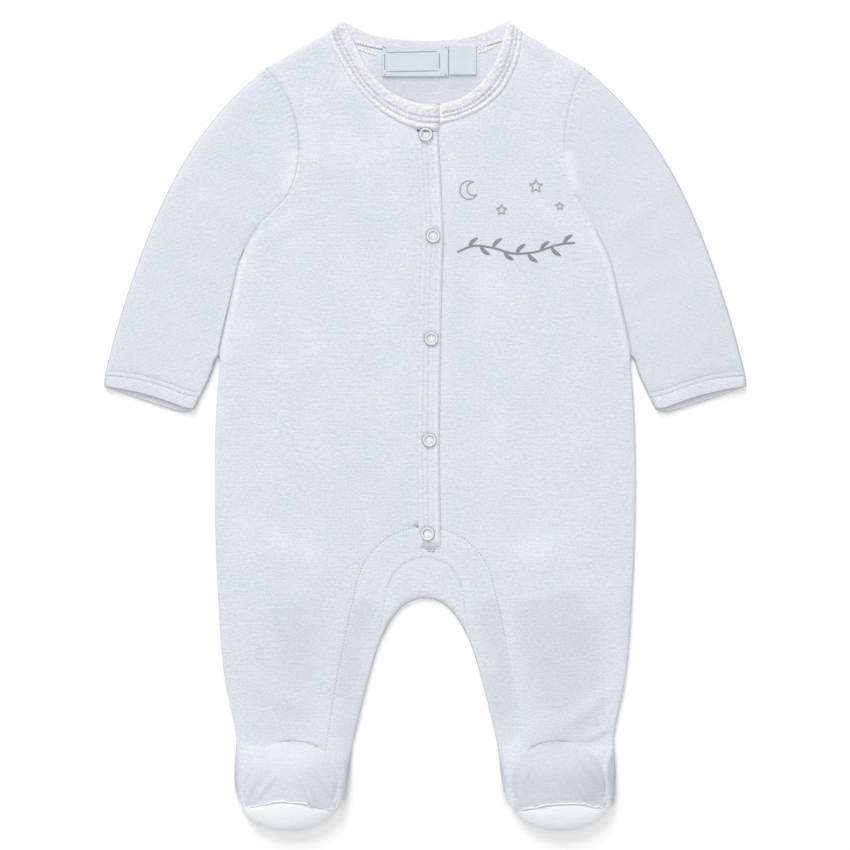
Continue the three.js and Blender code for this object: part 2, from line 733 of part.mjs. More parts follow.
// Top of a foot: a dome between the seam round it and the toe seam.
function footTop(name) {
  const side = sides[name];
  const round = joined(
    trace(footSeamOuter, side, steps.footOuter),
    trace(footSeamInner, side, steps.footInner),
  );
  const seam = beside(round, (side * seamGap) / 2);
  const half = seam.length / 2;
  const rows = panel(seam.slice(0, half), seam.slice(half).reverse(), {
    middle: frontColumns,
    under: lift,
    depths: { first: seamed, second: seamed, start: seamed, end: seamed },
    bow: toeLift,
  });
  return sheet([rows]);
}

// Sole: flat on the surface from the heel to the ball of the foot, then up round the toes to their seam.
function sole(name) {
  const side = sides[name];
  const rim = trace(toeEdge, side, soleColumns);
  const across = (from, to, up, share) => new THREE.Vector2(side * THREE.MathUtils.lerp(from, to, share), up);
  const seamUp = toeCorner - 2 * seamGap;
  const section = (i, inset) => {
    const share = i / soleColumns;
    const flat = soleShares.map((along) => {
      const up = THREE.MathUtils.lerp(heel, seamUp, along);
      return across(sideOut(up), innerLegOut(up), up, share);
    });
    const top = across(footSeamOuter[0].out, footSeamInner.at(-1).out, seamUp, share);
    top.y += toeLift(top.x, toeCorner);
    const bottom = across(toeEdge[0].out, toeEdge.at(-1).out, seamUp, share).lerp(rim[i], soleContact);
    const crown = lift(top.x, top.y + seamGap) + cloth;
    const curl = soleTurns.map((degrees) => {
      const turn = THREE.MathUtils.degToRad(degrees);
      const risen = (Math.sin(turn) + 1) / 2;
      const base = bottom.clone().lerp(top, risen);
      const reach = base.distanceTo(rim[i]);
      const out = base.lerp(rim[i], reach > inset ? Math.cos(turn) * (1 - inset / reach) : 0);
      return new THREE.Vector3(out.x, out.y, inset + (crown - 2 * inset) * risen);
    });
    return [...flat.map((p) => new THREE.Vector3(p.x, p.y, inset)), ...curl];
  };
  const rows = Array.from({ length: soleColumns + 1 }, (_, i) => {
    const inner = section(i, cloth);
    return section(i, 0).map((outer, j) => ({ outer, inner: inner[j] }));
  });
  return sheet([rows]);
}

function label({ width, length }) {
  return new THREE.BoxGeometry(width, length, labelTape);
}

// An open ring snap, with the cloth showing through its middle.
function snapRing() {
  const middle = snap.radius - snap.width / 2;
  const profile = Array.from({ length: snap.section + 1 }, (_, i) => {
    const turn = (Math.PI * 2 * (i % snap.section)) / snap.section - Math.PI / 2;
    return new THREE.Vector2(middle + (Math.cos(turn) * snap.width) / 2, (Math.sin(turn) * snap.height) / 2);
  });
  return new THREE.LatheGeometry(profile, snap.sides).rotateX(Math.PI / 2);
}

// The height on which a snap rests: the highest point of the cloth round it.
function snapRest({ x, y }, isOnBand) {
  const highest = Math.max(...[-1, 0, 1].map((way) => lift(x + way * snap.radius, y)));
  return highest + (isOnBand ? 2 * trim + layerGap : cloth + layerGap + tape);
}

const finishes = {
  velour: new THREE.MeshStandardMaterial({ color: 0xe3e6ee, roughness: 0.92 }),
  trim: new THREE.MeshStandardMaterial({ color: 0xe9eaf1, roughness: 0.9 }),
  sole: new THREE.MeshStandardMaterial({ color: 0xeef2f5, roughness: 0.88 }),
  label: new THREE.MeshStandardMaterial({ color: 0xbcc2cb, roughness: 0.6 }),
  snap: new THREE.MeshStandardMaterial({ color: 0xe6e6ee, roughness: 0.35, metalness: 0.1 }),
};

function piece(name, geometry, finish) {
  geometry.computeVertexNormals();
  const mesh = new THREE.Mesh(geometry, finishes[finish]);
  mesh.name = name;
  return mesh;
}

function placed(mesh, { x, y }, height) {
  mesh.position.set(x, y, height);
  return mesh;
}

const sleepsuit = new THREE.Group();
sleepsuit.add(
  piece("back", back(), "velour"),
  piece("front_right", front("right"), "velour"),
  piece("front_left", front("left"), "velour"),
  piece("inner_leg_panel", innerLegPanel(), "velour"),
  piece("neckband", neckband(), "trim"),
  piece("placket", placket(), "trim"),
  placed(piece("neck_label", label(neckLabel), "label"), neckLabel, upperLayer + labelTape / 2),
  placed(piece("size_label", label(sizeLabel), "label"), sizeLabel, upperLayer + labelTape / 2),
);
for (const name of Object.keys(sides)) {
  sleepsuit.add(
    piece(`sleeve_${name}`, sleeve(name), "velour"),
    piece(`cuff_${name}`, cuff(name), "trim"),
    piece(`foot_top_${name}`, footTop(name), "velour"),
    piece(`sole_${name}`, sole(name), "sole"),
  );
}
snaps.forEach((place, i) => {
  const height = snapRest(place, i === 0) + layerGap + snap.height / 2;
  sleepsuit.add(placed(piece(`snap_${i + 1}`, snapRing(), "snap"), place, height));
});

export default sleepsuit;
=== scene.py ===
import math

import bmesh
import bpy
import numpy as np
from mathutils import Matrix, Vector, noise
from mathutils.bvhtree import BVHTree


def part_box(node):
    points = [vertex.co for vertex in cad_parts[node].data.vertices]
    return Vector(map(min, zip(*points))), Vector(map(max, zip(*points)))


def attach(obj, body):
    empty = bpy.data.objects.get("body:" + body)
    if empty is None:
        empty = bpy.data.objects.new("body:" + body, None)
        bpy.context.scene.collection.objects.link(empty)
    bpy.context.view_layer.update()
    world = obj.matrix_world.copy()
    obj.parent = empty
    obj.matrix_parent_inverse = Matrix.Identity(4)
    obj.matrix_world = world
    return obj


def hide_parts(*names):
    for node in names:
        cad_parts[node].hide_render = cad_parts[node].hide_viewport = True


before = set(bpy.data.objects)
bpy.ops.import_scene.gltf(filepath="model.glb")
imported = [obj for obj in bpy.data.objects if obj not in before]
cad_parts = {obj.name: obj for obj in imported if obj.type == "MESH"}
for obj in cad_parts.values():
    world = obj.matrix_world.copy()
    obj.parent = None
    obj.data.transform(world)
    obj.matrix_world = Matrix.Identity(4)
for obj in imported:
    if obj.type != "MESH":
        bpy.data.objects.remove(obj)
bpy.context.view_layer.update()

bpy.ops.object.select_all(action="DESELECT")


# Back
# One piece of white cotton velour from the neck to both heels. It lies on the surface, and at the crotch its
# cloth turns over to the front, where it is sewn to the inner leg panel.
MM = 0.001
VELOUR = (0.735, 0.757, 0.803, 1)
VELOUR_SHADE = (0.612, 0.635, 0.685, 1)
# The next two colours are painted shade and painted highlight, mixed into the velour wherever the cloth's
# shading is painted; the lighter one is also the white of a thread.
PAINTED_SHADE_PILE = (0.42, 0.41, 0.52, 1)
PAINTED_HIGHLIGHT_AND_THREAD_WHITE = (0.95, 0.95, 0.98, 1)
PILE_ROWS = 980  # tufts of pile in a metre, down the page
PILE_DEPTH = 0.24 * MM
TUFT_STRETCH = (0.74, 1, 1)  # below one across the page, where tufts are longer
ROW_SCALE, PATCH_SCALE = 125, 34  # of the loose rows and of the soft patches, to the metre
SEAM_EASE = 0.13 * MM  # how far cut edges are eased out towards their seam
SEAM_LAP = 0.2  # how far past its seam line, in millimetres, an edge runs, so that no gap opens
SHARP = math.radians(50)
MEET_STEP = 3  # millimetres of a seam along which an edge is eased as one
HELD = 2.5  # how near a held line, in millimetres, an edge keeps its corner
UPPER = 1.85  # the upper cloth of sleeves, cuffs and feet lies above this height, in millimetres
ROUNDED = 0.22  # how firmly a rounded edge keeps its corner
ARM_SEAMS = {  # from the sleeve's lower end up the underarm and round the armhole, past the shoulder
    "right": [(-135, 43), (-133.4, 55), (-127.2, 83), (-121.3, 107.8), (-113.8, 123.6), (-108, 131.5),
              (-99, 140.2), (-90, 151), (-84.6, 164), (-82.2, 181), (-84.2, 199), (-91.5, 217.5),
              (-104.1, 234), (-109, 239)],
    "left": [(135, 43), (133.4, 55), (127.2, 83), (121.3, 107.8), (113.8, 123.6), (110.6, 130.5),
             (104.4, 141.5), (96.8, 152.3), (92.6, 164.5), (91, 181), (92.6, 199), (97, 217.5),
             (104.6, 234), (108, 239)],
}
UNDERARM = slice(0, 6)  # the points of an arm seam that lie below the armpit
CROTCH_SEAM = [(31, -146), (28.6, -132), (26.4, -120), (24.6, -108), (20.6, -98), (13.4, -90.6), (0, -86.5),
               (-13.4, -90.6), (-20.6, -98), (-24.6, -108), (-26.4, -120), (-28.6, -132), (-31, -146)]


def smooth_line(points, step=2.0):
    """A smooth line through points of the page, cut into equal steps. Millimetres."""
    points = [np.array(p, float) for p in points]
    points = [2 * points[0] - points[1], *points, 2 * points[-1] - points[-2]]
    fine = []
    for a, b, c, d in zip(points, points[1:], points[2:], points[3:]):
        for t in np.linspace(0, 1, 24, endpoint=False):
            fine.append(0.5 * (2 * b + (c - a) * t + (2 * a - 5 * b + 4 * c - d) * t**2
                               + (3 * b - a - 3 * c + d) * t**3))
    fine = np.array([*fine, points[-2]])
    runs = np.concatenate([[0], np.cumsum(np.hypot(*np.diff(fine, axis=0).T))])
    wanted = np.linspace(0, runs[-1], max(2, round(runs[-1] / step) + 1))
    return np.column_stack([np.interp(wanted, runs, fine[:, 0]), np.interp(wanted, runs, fine[:, 1])])


def nearest(spots, line):
    """How far each spot lies from a line of the page, to its left or, negative, to its right, how far along
    the line its nearest point is, and the line's length. Millimetres."""
    flat = spots[:, :2] / MM
    best = np.full(len(flat), 1e9)
    run = np.zeros(len(flat))
    around = np.all((flat > line.min(0) - 20) & (flat < line.max(0) + 20), axis=1)
    flat = flat[around]
    close, far_along = best[around], run[around]
    done = 0.0
    for start, end in zip(line[:-1], line[1:]):
        way = end - start
        length = np.hypot(*way)
        share = np.clip((flat - start) @ way / length**2, 0, 1)
        off = flat - start - np.outer(share, way)
        away = np.hypot(*off.T) * np.where(way[0] * off[:, 1] - way[1] * off[:, 0] < 0, -1, 1)
        closer = np.abs(away) < np.abs(close)
        close[closer] = away[closer]
        far_along[closer] = (done + share * length)[closer]
        done += length
    best[around], run[around] = close, far_along
    return best, run, done


def how_near(spots, line):
    """How far each spot lies from a line of the page, on either side. Millimetres."""
    return np.abs(nearest(spots, smooth_line(line, 4))[0])


def choose(piece):
    """Selects one piece alone for the operators that follow."""
    bpy.ops.object.select_all(action="DESELECT")
    piece.select_set(True)
    bpy.context.view_layer.objects.active = piece


def middles_of(edges):
    return np.array([(edge.verts[0].co + edge.verts[1].co) / 2 for edge in edges])


def cut_cloth(node, rounds, held=(), rounded=ROUNDED, finer=()):
    """A fine copy of a sewing piece's solid. Its upper edges are rounded, but not along the held lines, where
    the next piece joins it without a step. It is finer still near some lines, each with its width."""
    name = f"{node}_cloth"
    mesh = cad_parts[node].data.copy()
    mesh.name = name
    mesh.materials.clear()
    piece = bpy.data.objects.new(name, mesh)
    bpy.context.collection.objects.link(piece)
    choose(piece)
    bpy.ops.object.mode_set(mode="EDIT")
    bpy.ops.mesh.select_all(action="SELECT")
    bpy.ops.mesh.remove_doubles(threshold=0.01 * MM)
    bpy.ops.mesh.tris_convert_to_quads(face_threshold=math.pi, shape_threshold=math.pi)
    bpy.ops.object.mode_set(mode="OBJECT")
    shape = bmesh.new()
    shape.from_mesh(mesh)
    middles = middles_of(shape.edges)
    firm = np.full(len(middles), rounded)
    for line in held:
        firm[how_near(middles, line) < HELD] = 1.0
    hold = shape.edges.layers.float.new("crease_edge")
    for edge, share in zip(shape.edges, firm):
        if edge.calc_face_angle(0) > SHARP:
            slopes = sorted(face.normal.z for face in edge.link_faces)
            edge[hold] = 1.0 if slopes[0] < -0.5 or slopes[1] < 0.3 else share
    for corner in shape.verts:
        walls = [face.normal for face in corner.link_faces if abs(face.normal.z) < 0.3]
        if walls:
            out = sum(walls, Vector())
            out.z = 0
            corner.co += out.normalized() * SEAM_EASE
    shape.to_mesh(mesh)
    shape.free()
    soft = piece.modifiers.new("soft", "SUBSURF")
    soft.levels = soft.render_levels = rounds
    bpy.ops.object.modifier_apply(modifier=soft.name)
    if finer:
        shape = bmesh.new()
        shape.from_mesh(mesh)
        edges = [edge for edge in shape.edges if min(corner.normal.z for corner in edge.verts) > 0.3]
        middles = middles_of(edges)
        close = np.any([how_near(middles, line) < wide for line, wide in finer], axis=0)
        close &= middles[:, 2] > UPPER * MM
        edges = [edge for edge, wanted in zip(edges, close) if wanted]
        bmesh.ops.subdivide_edges(shape, edges=edges, cuts=1, use_grid_fill=True)
        shape.to_mesh(mesh)
        shape.free()
    bpy.ops.object.shade_smooth_by_angle(angle=SHARP)
    return piece


def spots_of(piece):
    spots = np.empty(len(piece.data.vertices) * 3)
    piece.data.vertices.foreach_get("co", spots)
    return spots.reshape(-1, 3)


def move_to(piece, spots):
    piece.data.vertices.foreach_set("co", spots.ravel())
    piece.data.update()


def meet(piece, line, side=0, reach=6.0, ends=3.0, lowest=-1.0, slope=0.0, lap=SEAM_LAP):
    """Eases a piece's edge sideways so that it meets a seam line all along, as its neighbour's edge does.
    What lies past the line goes back to it, and down by the slope of the cloth there."""
    line = smooth_line(line, 3)
    spots = spots_of(piece)
    away, run, length = nearest(spots, line)
    upper = np.clip(spots[:, 2] / MM - lowest, 0, 1)
    near = (np.abs(away) < reach) & (run > 0) & (run < length) & (upper > 0.1)
    side = side or np.sign(away[near].sum())
    inward = side * away + lap
    cell = np.round(run / MEET_STEP).astype(int)
    edge = np.full(cell.max() + 1, np.inf)
    np.minimum.at(edge, cell[near], inward[near])
    known = np.flatnonzero(np.isfinite(edge))
    at_run = np.maximum(np.interp(run / MEET_STEP, known, edge[known]), 0)
    fade = np.clip(1 - (inward - at_run) / reach, 0, 1)
    fade *= np.clip(np.minimum(run, length - run) / ends, 0, 1) * upper
    ways = np.gradient(line, axis=0)
    ways /= np.hypot(*ways.T)[:, None]
    place = np.linspace(0, length, len(line))
    left = np.column_stack([-np.interp(run, place, ways[:, 1]), np.interp(run, place, ways[:, 0])])
    moved = (inward < at_run + reach) & (np.abs(away) < 2 * reach) & (run > 0) & (run < length)
    shift = np.where(moved, at_run * fade, 0)
    past = np.where(near, np.clip(shift - inward, 0, None) * upper, 0)
    spots[:, :2] -= left * (side * (shift - past) * MM)[:, None]
    spots[:, 2] -= slope * past * MM
    move_to(piece, spots)


def raise_cloth(piece, rise, lowest):
    """Lifts each spot by its own rise in millimetres. Cloth that lies under the lowest height stays."""
    spots = spots_of(piece)
    spots[:, 2] += rise * MM * np.clip((spots[:, 2] / MM - lowest) / 0.3, 0, 1)
    move_to(piece, spots)


def crumple(piece, high, size, lowest=-1.0):
    """The slight unevenness that cloth keeps when it is laid out by hand."""
    spots = spots_of(piece)
    wide = [noise.noise(Vector(p) / (size * MM)) for p in spots * (1, 1, 0)]
    small = [noise.noise(Vector(p) / (size * MM / 3)) for p in spots * (0.6, 1, 0)]
    raise_cloth(piece, high * (np.array(wide) + 0.4 * np.array(small)), lowest)


def paint_shading_and_tone(piece, share):
    """Darkens each spot's colour by a share: painted shade. A share below nought lightens it: painted
    highlight. mottle() adds random tone through it too.
    """
    pile = piece.data.attributes.get("painted_light_and_mottle") or piece.data.attributes.new("painted_light_and_mottle", "FLOAT", "POINT")
    before = np.empty(len(piece.data.vertices))
    pile.data.foreach_get("value", before)
    pile.data.foreach_set("value", before + share)


# Paints shade along a line, or painted highlight where the share is below nought, fading across its width and
# towards its ends.
def paint_shading_along(piece, line, wide, share, beside=0.0, lowest=-1.0):
    spots = spots_of(piece)
    away, run, length = nearest(spots, smooth_line(line, 3))
    across = np.clip(1 - ((away - beside) / wide) ** 2, 0, 1) ** 2
    ends = np.clip(np.minimum(run, length - run) / 3, 0, 1)
    paint_shading_and_tone(piece, share * across * ends * (spots[:, 2] / MM > lowest))


def paint_rim_shade(piece, share, seams=()):
    """Paints shade on steep rims, where the cloth turns away from the light above. Seams are left out."""
    ways = np.empty(len(piece.data.vertices) * 3)
    piece.data.vertex_normals.foreach_get("vector", ways)
    rim = np.clip((0.92 - ways[2::3]) / 0.4, 0, 1) * (ways[2::3] > -0.2)
    for seam in seams:
        rim *= np.clip(how_near(spots_of(piece), seam) / 1.5 - 1, 0, 1)
    paint_shading_and_tone(piece, share * rim)


def give(tree, value, socket):
    """Links a node's output to a socket, or sets a plain value on it."""
    if isinstance(value, bpy.types.NodeSocket):
        tree.links.new(value, socket)
    else:
        socket.default_value = value


def grain(tree, place, scale, detail=2.0, distortion=0.0):
    """Soft random grain."""
    texture = tree.nodes.new("ShaderNodeTexNoise")
    for value, socket in zip((place, scale, detail, distortion), ("Vector", "Scale", "Detail", "Distortion")):
        give(tree, value, texture.inputs[socket])
    return texture.outputs["Fac"]


def ribs(tree, place, scale, distortion, detail_scale=1.0):
    """More or less wavy ribs that run across the page."""
    texture = tree.nodes.new("ShaderNodeTexWave")
    texture.bands_direction = "Y"
    give(tree, place, texture.inputs["Vector"])
    for socket, value in (("Scale", scale), ("Distortion", distortion), ("Detail Scale", detail_scale)):
        texture.inputs[socket].default_value = value
    return texture.outputs["Fac"]


def blend(tree, first, second, share):
    """A value between two others."""
    mix = tree.nodes.new("ShaderNodeMix")
    for value, socket in zip((share, first, second), ("Factor", "A", "B")):
        give(tree, value, mix.inputs[socket])
    return mix.outputs["Result"]


def tint(tree, share, below, above):
    """A colour between two others."""
    mix = tree.nodes.new("ShaderNodeMix")
    mix.data_type = "RGBA"
    for value, socket in zip((share, below, above), ("Factor", 6, 7)):
        give(tree, value, mix.inputs[socket])
    return mix.outputs[2]


def spread(tree, source, low, high, to_low=0.0, to_high=1.0):
    """Stretches the values from low to high over a new range."""
    ranged = tree.nodes.new("ShaderNodeMapRange")
    give(tree, source, ranged.inputs["Value"])
    for socket, value in zip(("From Min", "From Max", "To Min", "To Max"), (low, high, to_low, to_high)):
        ranged.inputs[socket].default_value = value
    return ranged.outputs["Result"]


def raised(tree, height, strength, depth):
    """The bump of a height, as a normal."""
    bump = tree.nodes.new("ShaderNodeBump")
    for socket, value in (("Height", height), ("Strength", strength), ("Distance", depth)):
        give(tree, value, bump.inputs[socket])
    return bump.outputs["Normal"]


def painted_light_and_mottle_share(tree):
    """The painted shade, painted highlight and random tone written on the piece."""
    painted_light_and_mottle = tree.nodes.new("ShaderNodeAttribute")
    painted_light_and_mottle.attribute_name = "painted_light_and_mottle"
    return painted_light_and_mottle.outputs["Fac"]


def new_finish(name):
    """A new material, its tree of nodes, its shader, and each spot's place on the piece."""
    material = bpy.data.materials.new(name)
    material.use_nodes = True
    tree = material.node_tree
    place = tree.nodes.new("ShaderNodeTexCoord").outputs["Object"]
    return material, tree, tree.nodes["Principled BSDF"], place


def pile_group():
    """Velour pile: fine tufts in loose rows and soft patches, as a colour, a height and a roughness. The
    colour also takes the painted shade and painted highlight written on the piece.
    """
    group = bpy.data.node_groups.new("velour pile", "ShaderNodeTree")
    taken = {"Place": "Vector", "Cloth": "Color", "Shade": "Color", "Rows": "Float", "Painted light and mottle": "Float"}
    put_out = {"Color": "Color", "Height": "Float", "Roughness": "Float"}
    for way, sockets in (("INPUT", taken), ("OUTPUT", put_out)):
        for socket, kind in sockets.items():
            group.interface.new_socket(socket, in_out=way, socket_type=f"NodeSocket{kind}")
    given = group.nodes.new("NodeGroupInput").outputs
    put = group.nodes.new("NodeGroupOutput").inputs
    longer = group.nodes.new("ShaderNodeMapping")
    longer.inputs["Scale"].default_value = TUFT_STRETCH
    give(group, given["Place"], longer.inputs["Vector"])
    place = longer.outputs["Vector"]
    rows = ribs(group, place, ROW_SCALE, distortion=7, detail_scale=1.6)
    tufts = grain(group, place, given["Rows"], distortion=0.5)
    patches = grain(group, given["Place"], PATCH_SCALE, detail=3.0, distortion=0.3)
    pile = blend(group, tufts, rows, 0.09)
    light = spread(group, blend(group, pile, patches, 0.25), 0.34, 0.62)
    colour = tint(group, light, given["Shade"], given["Cloth"])
    # painted shade where the written value is above nought, painted highlight where it is below
    colour = tint(group, spread(group, given["Painted light and mottle"], 0.0, 1.0), colour, PAINTED_SHADE_PILE)
    colour = tint(group, spread(group, given["Painted light and mottle"], 0.0, -1.0), colour, PAINTED_HIGHLIGHT_AND_THREAD_WHITE)
    give(group, colour, put["Color"])
    give(group, pile, put["Height"])
    give(group, spread(group, tufts, 0.3, 0.7, 0.86, 1.0), put["Roughness"])
    return group


PILE = pile_group()


def velour(name, cloth=VELOUR, shade=VELOUR_SHADE, turn=0.0, rows=PILE_ROWS, depth=PILE_DEPTH):
    """Cotton velour whose rows of pile run across the page, or turned from there by some degrees."""
    material, tree, shader, place = new_finish(name)
    turned = tree.nodes.new("ShaderNodeMapping")
    turned.inputs["Rotation"].default_value[2] = math.radians(-turn)
    give(tree, place, turned.inputs["Vector"])
    pile = tree.nodes.new("ShaderNodeGroup")
    pile.node_tree = PILE
    for socket, value in (("Place", turned.outputs["Vector"]), ("Cloth", cloth), ("Shade", shade),
                          ("Rows", rows), ("Painted light and mottle", painted_light_and_mottle_share(tree))):
        give(tree, value, pile.inputs[socket])
    give(tree, pile.outputs["Color"], shader.inputs["Base Color"])
    give(tree, pile.outputs["Roughness"], shader.inputs["Roughness"])
    give(tree, raised(tree, pile.outputs["Height"], 0.6, depth), shader.inputs["Normal"])
    shader.inputs["Specular IOR Level"].default_value = 0.15
    shader.inputs["Sheen Weight"].default_value = 0.2
    shader.inputs["Sheen Roughness"].default_value = 0.45
    return material


def sewn(piece, node):
    """Takes the place of its solid, as a sheet of cloth that lies on other pieces."""
    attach(piece, "root")
    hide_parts(node)


back = cut_cloth("back", 3, held=[CROTCH_SEAM])
for line in ARM_SEAMS.values():
    meet(back, line[UNDERARM])
meet(back, CROTCH_SEAM, side=1, ends=5, lowest=1.8)
CRUMPLE = (0.16, 26)  # how high and how wide the unevenness of all the body's cloth is
crumple(back, *CRUMPLE)
# Painted shade along the crotch seam, over the inside of the back below the neck, and on the rims.
paint_shading_along(back, CROTCH_SEAM[3:-3], wide=2.2, share=0.16, lowest=1.8)
paint_shading_along(back, [(-38, 222), (38, 222)], wide=28, share=0.22)
paint_rim_shade(back, 0.6, [CROTCH_SEAM])
back.data.materials.append(velour("back velour"))
sewn(back, "back")


# Fronts
# Two pieces of the same velour, from the shoulders to the ankles. The right one is sewn to the placket, which
# lies on the left one. Both are seamed to the back at the sides, so they lie nearly flat on it.
ARMPIT, CHEST_SIDE, CAP = slice(4, 8), slice(7, 10), slice(9, None)  # further parts of an arm seam
INWARD = {"right": -1, "left": 1}  # the side of an arm seam on which the front lies
SEAM_GROOVE = {"wide": 1.8, "high": -0.15}
LEG_SEAM = [(65.5, -213.5), (62, -190), (58, -165), (52.6, -138), (47, -112), (40.6, -90.5), (28.8, -76.2),
            (16.4, -69), (5.6, -65.8)]
FOOT_SEAM = [(116.6, -246), (117.6, -232), (113.5, -219), (103, -210), (88, -206.5), (74, -208.6),
             (65.5, -213.5), (59.4, -222), (57.4, -234), (60, -246)]
FRONT_FOLDS = {
    "right": [
        {"line": [(-108, 116), (-88, 132), (-64, 146)], "wide": 9, "high": 0.5},
        {"line": [(-76, 216), (-70, 196), (-68, 166)], "wide": 6, "high": 0.4},
        {"line": [(-60, -96), (-88, -88), (-118, -70)], "wide": 16, "high": 0.5},
        {"line": [(-118, -160), (-96, -178), (-70, -186)], "wide": 9, "high": 0.5},
        {"line": [(-10, 176), (-11, 120), (-11, 60), (-12, -20)], "wide": 5, "high": 0.4},
    ],
    "left": [
        {"line": [(106, 108), (88, 128), (68, 140)], "wide": 9, "high": 0.5},
        {"line": [(60, -92), (84, -84), (120, -76)], "wide": 16, "high": 0.5},
        {"line": [(122, -172), (106, -186), (90, -196)], "wide": 7, "high": 0.8},
        {"line": [(122, -196), (108, -204), (98, -204)], "wide": 4, "high": 0.9},
        {"line": [(124, -208), (119, -222), (120, -238)], "wide": 3, "high": 0.8},
        {"line": [(17, 184), (18, 120), (19, 60), (18, -20), (16, -58)], "wide": 7, "high": 0.35},
    ],
}


def on_side(side, line):
    """The wearer's right is on the page's left."""
    return line if side == "left" else [(-x, y) for x, y in line]


TOE_SEAMS = {
    "right": [(-129, -248.6), (-122, -248.6), (-115.3, -248.6), (-105, -246.6), (-94.3, -244.9),
              (-83.2, -245.5), (-77.3, -246.6), (-72.5, -249), (-62.6, -250.4), (-54.5, -249.6), (-48, -249)],
    "left": [(48, -249), (54.5, -249.6), (61.4, -250.6), (73.5, -248.5), (81.9, -246.7), (92.9, -246.1),
             (103.7, -246.7), (109.8, -248.4), (115.9, -249.3), (123, -248.4), (129, -248)],
}
BAND_EDGES = {  # opening's edge and sewn edge, from the shoulder to the placket
    "right": [(-53.7, 264.4, -63.6, 256.6), (-49.5, 257, -61.6, 247.4), (-45.2, 248, -57, 239),
              (-40.2, 237.4, -51.2, 229.4), (-33.2, 227.2, -43.2, 218), (-23.6, 218.4, -31.8, 206.8),
              (-12, 212.4, -17.6, 197.6), (-1, 209.9, -3.2, 192.6), (9.2, 209.4, 9.2, 192.2)],
    "left": [(53.9, 264.4, 63.7, 256.8), (52.2, 257.6, 63.6, 250), (49.6, 247.4, 62, 240.4),
             (45.2, 236.4, 57, 227.2), (38.5, 226, 49.3, 215.6), (29.5, 217.2, 38.2, 206.4),
             (19, 211.8, 24.4, 200), (10.6, 210.2, 12, 196.6)],
}
PLACKET_LINE = [(3.3, -79.6), (2.8, -50), (2.3, -10), (2.7, 17), (3.9, 89), (5.2, 124), (3.9, 148),
                (1.5, 191)]
PLACKET_SEAM = [(x - 7.1, y) for x, y in PLACKET_LINE]
# How much painted shade darkens each shin, the left one more.
SHIN_PAINTED_SHADE = {"right": 0.11, "left": 0.2}


def press_folds(piece, folds, lowest=-1.0, fading=True):
    """Raises or sinks the cloth in soft folds along lines, which fade towards their ends unless said."""
    spots = spots_of(piece)
    rise = np.zeros(len(spots))
    for fold in folds:
        away, run, length = nearest(spots, smooth_line(fold["line"], 4))
        across = np.clip(np.abs(away - fold.get("beside", 0)) / fold["wide"], 0, 1)
        ends = np.sin(np.pi * np.clip(run / length, 0.04, 0.96)) ** 0.7 if fading else 1
        rise += fold["high"] * ends * (1 - across**2) ** 2
    raise_cloth(piece, rise, lowest)


def gather(piece, line, pitch, wide, high, beside=0.0, lowest=-1.0):
    """Small uneven puckers where a seam takes up some fullness."""
    spots = spots_of(piece)
    away, run, length = nearest(spots, smooth_line(line))
    beat = 2 * math.pi * run / pitch
    uneven = np.sin(beat + 1.3 * np.sin(beat * 0.37)) * (0.65 + 0.35 * np.sin(beat * 0.23 + 1))
    near = np.exp(-(((away - beside) / wide) ** 2))
    ends = np.clip(np.minimum(run, length - run) / (2 * pitch), 0, 1)
    raise_cloth(piece, high * uneven * near * ends, lowest)


def band_line(side, share):
    return [(a + (c - a) * share, b + (d - b) * share) for a, b, c, d in BAND_EDGES[side]]


fronts = {}
for side, folds in FRONT_FOLDS.items():
    leg_seam, foot_seam, arm_seam = on_side(side, LEG_SEAM), on_side(side, FOOT_SEAM[:7]), ARM_SEAMS[side]
    seams = [leg_seam, foot_seam, arm_seam] + ([PLACKET_SEAM] if side == "right" else [])
    front = cut_cloth(f"front_{side}", 3, held=seams, finer=[(arm_seam, 2.4)])
    meet(front, arm_seam)
    meet(front, leg_seam, ends=0.5)
    meet(front, foot_seam, ends=0.5, slope=0.77)
    meet(front, TOE_SEAMS[side], side=1, reach=9)
    meet(front, band_line(side, 1.0), lap=1.4)
    if side == "right":
        meet(front, PLACKET_SEAM, side=1, reach=4)
        # Painted shade along the placket seam.
        paint_shading_along(front, PLACKET_SEAM, wide=1.6, share=0.12)
    press_folds(front, folds)
    gather(front, arm_seam[4:], pitch=5.2, wide=3, high=0.12)
    crumple(front, *CRUMPLE)
    press_folds(front, [{"line": line, **SEAM_GROOVE} for line in (arm_seam[:7], arm_seam[CAP])])
    # Painted shade along the arm seam, towards the ankle and on the rims, painted highlight beside the
    # underarm seam and at the chest side.
    paint_shading_along(front, arm_seam[UNDERARM], wide=1.3, share=0.42)
    paint_shading_along(front, arm_seam[UNDERARM], wide=2.6, share=-0.22, beside=3.0 * INWARD[side])
    paint_shading_along(front, arm_seam[ARMPIT], wide=1.3, share=0.08)
    paint_shading_along(front, arm_seam[CHEST_SIDE], wide=1.5, share=-0.3)
    paint_shading_along(front, arm_seam[CAP], wide=1.4, share=0.2)
    paint_shading_along(front, foot_seam, wide=16, share=0.09)
    paint_rim_shade(front, 0.6, [*seams, TOE_SEAMS[side]])
    front.data.materials.append(velour(f"front {side} velour"))
    # Painted shade over the shin.
    paint_shading_along(front, on_side(side, [(78, -110), (98, -214)]), wide=46, share=SHIN_PAINTED_SHADE[side])
    sewn(front, f"front_{side}")
    fronts[side] = front


# Inner leg panel
# An arch of velour over the crotch that runs down both legs to the toes. Its seams are topstitched, and the
# stitches sink into the pile.
# White thread darkened as if shaded in the pits it sinks into: painted shade.
THREAD_IN_PAINTED_SHADE = (0.5, 0.5, 0.6, 1)
THREAD_TWIST = 2600  # turns in a metre


